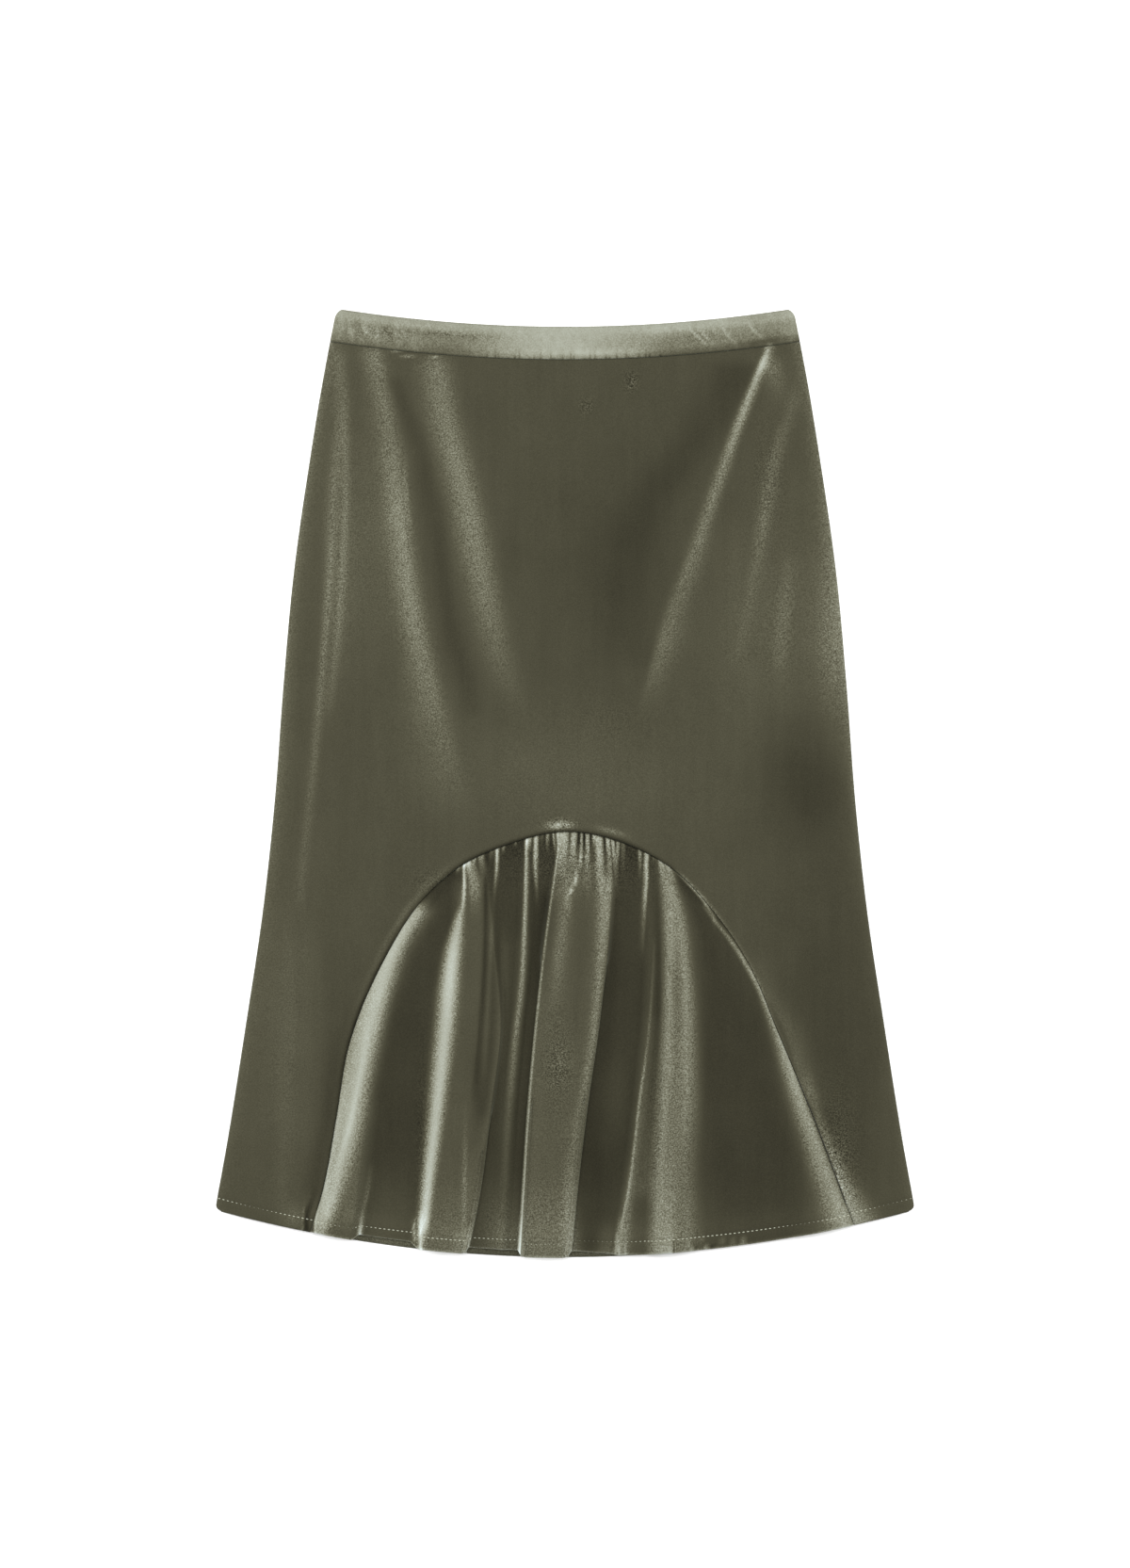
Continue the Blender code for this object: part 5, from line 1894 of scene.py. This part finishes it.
class NodeTree:
    """Short calls for wiring up a shader or a node group."""

    def __init__(self, tree: bpy.types.NodeTree) -> None:
        """Keeps the tree."""
        self.tree = tree

    def fill(self, node: bpy.types.Node, values: dict[str | int, object]) -> None:
        """Links or sets input sockets of a node.

        Args:
            node: The node.
            values: For each socket, by name or number, an output to link or a value.
        """
        for name, value in values.items():
            if isinstance(value, Socket):
                self.tree.links.new(value, node.inputs[name])
            else:
                node.inputs[name].default_value = value

    def add(self, kind: str, values: dict[str | int, object], **settings: object) -> bpy.types.Node:
        """Adds a node.

        Args:
            kind: Its type.
            values: What its input sockets are linked or set to.
            **settings: Its own settings.

        Returns:
            The node.
        """
        node = self.tree.nodes.new(kind)
        for name, value in settings.items():
            setattr(node, name, value)
        self.fill(node, values)
        return node

    def math(self, operation: str, first: object, second: object) -> Socket:
        """The result of an operation on two values."""
        return self.add("ShaderNodeMath", {0: first, 1: second}, operation=operation).outputs[0]

    def plus(self, first: object, second: object) -> Socket:
        """The sum of two values."""
        return self.math("ADD", first, second)

    def times(self, first: object, second: object) -> Socket:
        """The product of two values."""
        return self.math("MULTIPLY", first, second)

    def noise(self, place: Socket, scale: object, texture: Pair) -> Socket:
        """Noise centred on 0.

        Args:
            place: Where to read it.
            scale: Its scale.
            texture: Its detail and its roughness.

        Returns:
            Its value.
        """
        detail, roughness = texture
        values = {"Vector": place, "Scale": scale, "Detail": detail, "Roughness": roughness}
        return self.math("SUBTRACT", self.add("ShaderNodeTexNoise", values).outputs["Fac"], 0.5)

    def rise(self, value: Socket, rise: Rise) -> Socket:
        """A smooth step from one level to another, as the value goes."""
        ends = {"From Min": rise.start, "From Max": rise.end, "To Min": rise.low, "To Max": rise.high}
        step = self.add("ShaderNodeMapRange", {"Value": value, **ends}, interpolation_type="SMOOTHSTEP")
        return step.outputs["Result"]

    def mix(self, share: Socket, first: object, second: object) -> Socket:
        """A colour between two, the first where the share is 0."""
        values = {"Factor": share, MIX_FIRST: first, MIX_SECOND: second}
        return self.add("ShaderNodeMix", values, data_type="RGBA").outputs[MIX_RESULT]


@dataclass(frozen=True)
class PileGroup:
    """The node group that turns the lightness of the pile into velvet.

    Its inputs are Nap and Ruffled, from the cloth; Grain, Mottle and Streak, how strong each is;
    Patch, the mottle's scale; and the tints Deep and Pale. Its outputs are Color, Roughness and
    Height. Places are metres on the object.

    Attributes:
        grain, streak, mottle: Detail and roughness of each one's noise.
        lit, worn: How much the grain shows as the painted tone rises from the dark pile, and how
        little on the palest painted highlights.
        darkest, white, power: The least tone, the brightness of the full one, and its curve.
        roughest, smoother: How rough dark pile is, and how much less so the palest.
    """

    name: str = "velvet_pile"
    inputs: tuple[str, ...] = ("ToneAndPaintedLight", "Ruffled", "Grain", "Mottle", "Patch", "Streak")
    tints: tuple[str, ...] = ("Deep", "Pale")
    grain_scale: float = 1000.0
    grain: Pair = (2.0, 0.7)
    streak_scale: float = 130.0
    streak_run: float = 0.10
    streak: Pair = (3.0, 0.6)
    mottle: Pair = (4.0, 0.6)
    lit: Rise = Rise(0.30, 0.46, 0.12, 1.0)
    highlight_grain: Rise = Rise(0.56, 0.76, 1.0, 0.3)
    darkest: float = 0.06
    white: float = 0.46
    power: float = 2.2
    roughest: float = 0.95
    smoother: float = 0.3
    streak_relief: float = 0.6

    def new_group(self) -> bpy.types.NodeTree:
        """The empty group.

        Returns:
            The group, with its sockets.
        """
        group = bpy.data.node_groups.new(self.name, "ShaderNodeTree")
        for names, side, kind in (
            (self.inputs, "INPUT", "NodeSocketFloat"),
            (self.tints, "INPUT", "NodeSocketColor"),
            (("Color",), "OUTPUT", "NodeSocketColor"),
            (("Roughness", "Height"), "OUTPUT", "NodeSocketFloat"),
        ):
            for name in names:
                group.interface.new_socket(name, in_out=side, socket_type=kind)
        return group

    def build(self) -> bpy.types.NodeTree:
        """Makes the group.

        Returns:
            The group.
        """
        group = self.new_group()
        tree = NodeTree(group)
        given = tree.add("NodeGroupInput", {}).outputs
        place = tree.add("ShaderNodeTexCoord", {}).outputs["Object"]
        long_up = tree.add("ShaderNodeMapping", {"Vector": place, "Scale": (1.0, self.streak_run, 1.0)})
        grain = tree.noise(place, self.grain_scale, self.grain)
        streak = tree.noise(long_up.outputs["Vector"], self.streak_scale, self.streak)
        mottle = tree.noise(place, given["Patch"], self.mottle)
        shown = tree.times(tree.rise(given["ToneAndPaintedLight"], self.lit), tree.rise(given["ToneAndPaintedLight"], self.highlight_grain))
        speckled = tree.times(grain, tree.plus(tree.times(shown, given["Grain"]), given["Ruffled"]))
        clouded = tree.times(mottle, given["Mottle"])
        combed = tree.times(streak, given["Streak"])
        tone = tree.plus(tree.plus(given["ToneAndPaintedLight"], speckled), tree.plus(clouded, combed))
        tone = tree.math("MAXIMUM", tone, self.darkest)
        tint = tree.mix(tone, given["Deep"], given["Pale"])
        shade = tree.times(tree.math("POWER", tone, self.power), self.white)
        colour = tree.add("ShaderNodeVectorMath", {0: tint, "Scale": shade}, operation="SCALE")
        roughness = tree.math("SUBTRACT", self.roughest, tree.times(tone, self.smoother))
        height = tree.plus(grain, tree.times(streak, self.streak_relief))
        tree.add(
            "NodeGroupOutput", {"Color": colour.outputs[0], "Roughness": roughness, "Height": height}
        )
        return group


def new_finish(name: str) -> tuple[Finish, NodeTree, bpy.types.Node]:
    """A new material.

    Args:
        name: Its name.

    Returns:
        The material, its tree and its shader.
    """
    finish = bpy.data.materials.new(name)
    finish.use_nodes = True
    return finish, NodeTree(finish.node_tree), finish.node_tree.nodes["Principled BSDF"]


@dataclass(frozen=True)
class VelvetFinish:
    """Olive stretch velvet, dark olive to sage by the tone on its cloth, where its light and shade are
    painted.
    """

    name: str
    grain: float = 0.90
    mottle: float = 0.04
    patch: float = 26.0
    streak: float = 0.03
    # The tint runs from deep in the darkest tone to pale in the palest, so the painted highlights are sage.
    deep: Triple = (1.13, 1.00, 0.43)
    pale: Triple = (0.90, 1.00, 0.96)
    sheen: float = 0.27
    sheen_roughness: float = 0.35
    sheen_tint: Triple = (0.62, 0.68, 0.54)
    specular: float = 0.115
    bump: float = 0.35
    bump_depth: float = 0.0004

    def build(self, group: bpy.types.NodeTree) -> Finish:
        """Makes the material.

        Args:
            group: The pile's node group.

        Returns:
            The material.
        """
        finish, tree, shader = new_finish(self.name)
        values = {
            "Grain": self.grain, "Mottle": self.mottle, "Patch": self.patch, "Streak": self.streak,
            "Deep": opaque(self.deep), "Pale": opaque(self.pale),
        }
        for socket, layer in (("ToneAndPaintedLight", "tone_and_painted_light"), ("Ruffled", "grit")):
            reading = tree.add("ShaderNodeAttribute", {}, attribute_name=layer)
            values[socket] = reading.outputs["Fac"]
        pile = tree.add("ShaderNodeGroup", {}, node_tree=group)
        tree.fill(pile, values)
        relief = {"Strength": self.bump, "Distance": self.bump_depth, "Height": pile.outputs["Height"]}
        tree.fill(shader, {
            "Base Color": pile.outputs["Color"],
            "Roughness": pile.outputs["Roughness"],
            "Normal": tree.add("ShaderNodeBump", relief).outputs["Normal"],
            "Metallic": 0.0,
            "Specular IOR Level": self.specular,
            "Sheen Weight": self.sheen,
            "Sheen Roughness": self.sheen_roughness,
            "Sheen Tint": opaque(self.sheen_tint),
        })
        return finish


@dataclass(frozen=True)
class ThreadFinish:
    """Spun polyester thread, painted darker in the twist's grooves as shade and paler on its strands as
    light.
    """

    name: str
    colour: Triple = (0.25, 0.26, 0.19)
    light: Triple = (0.42, 0.43, 0.34)
    twist_scale: float = 1400.0
    roughness: float = 0.6
    sheen: float = 0.2

    def build(self) -> Finish:
        """Makes the material.

        Returns:
            The material.
        """
        finish, tree, shader = new_finish(self.name)
        place = tree.add("ShaderNodeTexCoord", {}).outputs["Object"]
        wave = {"Vector": place, "Scale": self.twist_scale}
        twist = tree.add("ShaderNodeTexWave", wave, bands_direction="DIAGONAL").outputs["Fac"]
        # Painted shade in the twist's grooves and painted light on its strands.
        colour = tree.mix(twist, opaque(self.colour), opaque(self.light))
        tree.fill(shader, {"Base Color": colour, "Roughness": self.roughness, "Sheen Weight": self.sheen})
        return finish


@dataclass(frozen=True)
class SoftBox:
    """A square studio light aimed at the skirt, with its place and size in metres."""

    name: str
    x: float
    y: float
    z: float
    size: float
    power: float

    def build(self) -> None:
        """Adds the light."""
        data = bpy.data.lights.new(self.name, "AREA")
        data.energy = self.power
        data.size = self.size
        obj = bpy.data.objects.new(self.name, data)
        obj.location = (self.x, self.y, self.z)
        obj.rotation_euler = (-obj.location).to_track_quat("-Z", "Y").to_euler()
        obj.visible_camera = False
        bpy.context.scene.collection.objects.link(obj)


@dataclass(frozen=True)
class Studio:
    """A plain white floor, soft light from above and both sides, and a camera straight above.

    Places and sizes are in metres, but the floor's gap below the skirt, the lens and the sensor
    are in millimetres. The camera sees as far as clip times its distance.
    """

    floor_size: float = 8.0
    floor_colour: Triple = (0.97, 0.97, 0.97)
    floor_roughness: float = 0.9
    floor_gap: float = 0.05
    world: float = 0.715
    world_colour: Triple = (1.0, 1.0, 1.0)
    boxes: tuple[SoftBox, ...] = (
        SoftBox("key_left", -1.7, 0.3, 0.8, 0.8, 33.8),
        SoftBox("key_right", 1.7, 0.3, 0.8, 0.8, 28.6),
        SoftBox("top", 0.0, 0.6, 3.0, 2.0, 65.0),
    )
    frame_height: float = 1.1655
    aim_z: float = 0.005
    lens: float = 135.0
    sensor: float = 36.0
    clip: float = 3.0

    def build(self) -> None:
        """Adds the floor, the lights and the camera."""
        self.add_floor()
        for box in self.boxes:
            box.build()
        self.add_world()
        self.add_camera()
        bpy.context.scene.view_settings.view_transform = "Standard"

    def add_floor(self) -> None:
        """A sheet of matt white paper."""
        paper, tree, shader = new_finish("white paper")
        tree.fill(shader, {"Base Color": opaque(self.floor_colour), "Roughness": self.floor_roughness})
        bm = bmesh.new()
        bmesh.ops.create_grid(bm, x_segments=1, y_segments=1, size=self.floor_size / 2)
        floor = add_piece("floor", bm, paper)
        floor.data.transform(Matrix.Translation((0, 0, -self.floor_gap * MM)))

    def add_world(self) -> None:
        """Even light from all round."""
        world = bpy.data.worlds.new("studio")
        world.use_nodes = True
        values = {"Strength": self.world, "Color": opaque(self.world_colour)}
        NodeTree(world.node_tree).fill(world.node_tree.nodes["Background"], values)
        bpy.context.scene.world = world

    def add_camera(self) -> None:
        """A long lens straight above the middle of the skirt."""
        data = bpy.data.cameras.new("camera")
        data.lens = self.lens
        data.sensor_width = self.sensor
        distance = self.frame_height * self.lens / self.sensor
        data.clip_end = distance * self.clip
        camera = bpy.data.objects.new("camera", data)
        camera.location = (0.0, 0.0, self.aim_z + distance)
        bpy.context.scene.collection.objects.link(camera)
        bpy.context.scene.camera = camera


@dataclass
class Skirt:
    """The whole skirt: its sub-assemblies and their finishes.

    The waistband's front half has its flat side at band_bottom, on the back half.
    """

    outline: Outline = field(default_factory=Outline)
    arch: ArchSeam = field(default_factory=ArchSeam)
    heights: ClothHeights = field(default_factory=ClothHeights)
    band_bottom: float = 3.5
    velvets: dict[Slot, VelvetFinish] = field(default_factory=lambda: {
        Slot.PANEL: VelvetFinish("olive velvet"),
        Slot.GODET: VelvetFinish("olive velvet of the godet"),
        Slot.BACK: VelvetFinish("olive velvet of the back"),
        # The band's cloth is painted paler than the panel's, for the light that its turned pile catches.
        Slot.BAND: VelvetFinish("sage velvet, pile reversed", grain=0.5, mottle=0.14, patch=70.0),
    })
    sewing: ThreadFinish = ThreadFinish("sewing thread")
    # The seam's stitches are real, but near black: the shade in their needle holes is painted into the
    # thread.
    shade_dark_seam_sewing: ThreadFinish = ThreadFinish(
        "dark sewing thread", colour=(0.012, 0.012, 0.008), light=(0.012, 0.012, 0.008)
    )

    def build(self) -> list[Piece]:
        """Returns:
            The pieces.
        """
        group = PileGroup().build()
        velvets = {slot: finish.build(group) for slot, finish in self.velvets.items()}
        sewing, shade_dark_seam_sewing = self.sewing.build(), self.shade_dark_seam_sewing.build()
        band = velvets[Slot.BAND]
        parts = (
            BackPanel(self.outline, self.heights).build(velvets[Slot.BACK], sewing),
            FrontPanel(self.outline, self.arch, self.heights).build(
                velvets[Slot.PANEL], sewing, shade_dark_seam_sewing
            ),
            Godet(self.outline, self.arch, self.heights).build(velvets[Slot.GODET], sewing),
            Waistband(self.outline, 0.0).build("waistband_back", band),
            Waistband(self.outline, self.band_bottom, PaintedNipShadows()).build("waistband_front", band),
        )
        self.declare(*parts)
        return [piece for part in parts for piece in part]

    def declare(
        self, back: list[Piece], panel: list[Piece], godet: list[Piece], *bands: list[Piece]
    ) -> None:
        """Takes the stitches of the back panel, the front panel and the godet as lists, and keeps nothing
        of them.

        Args:
            back: The back panel's cloth, then its stitches.
            panel: The front panel's.
            godet: The godet's.
            *bands: The waistband's back half and its front half. Not used.
        """
        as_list(back[1:])
        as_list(panel[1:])
        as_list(godet[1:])


def main() -> None:
    """Builds the skirt and its studio, and reports each piece."""
    logging.basicConfig(level=logging.INFO, format="%(message)s")
    for piece in Skirt().build():
        LOG.info("%s: %d faces before its modifiers", piece.name, len(piece.data.polygons))
    Studio().build()


if __name__ == "__main__":
    main()
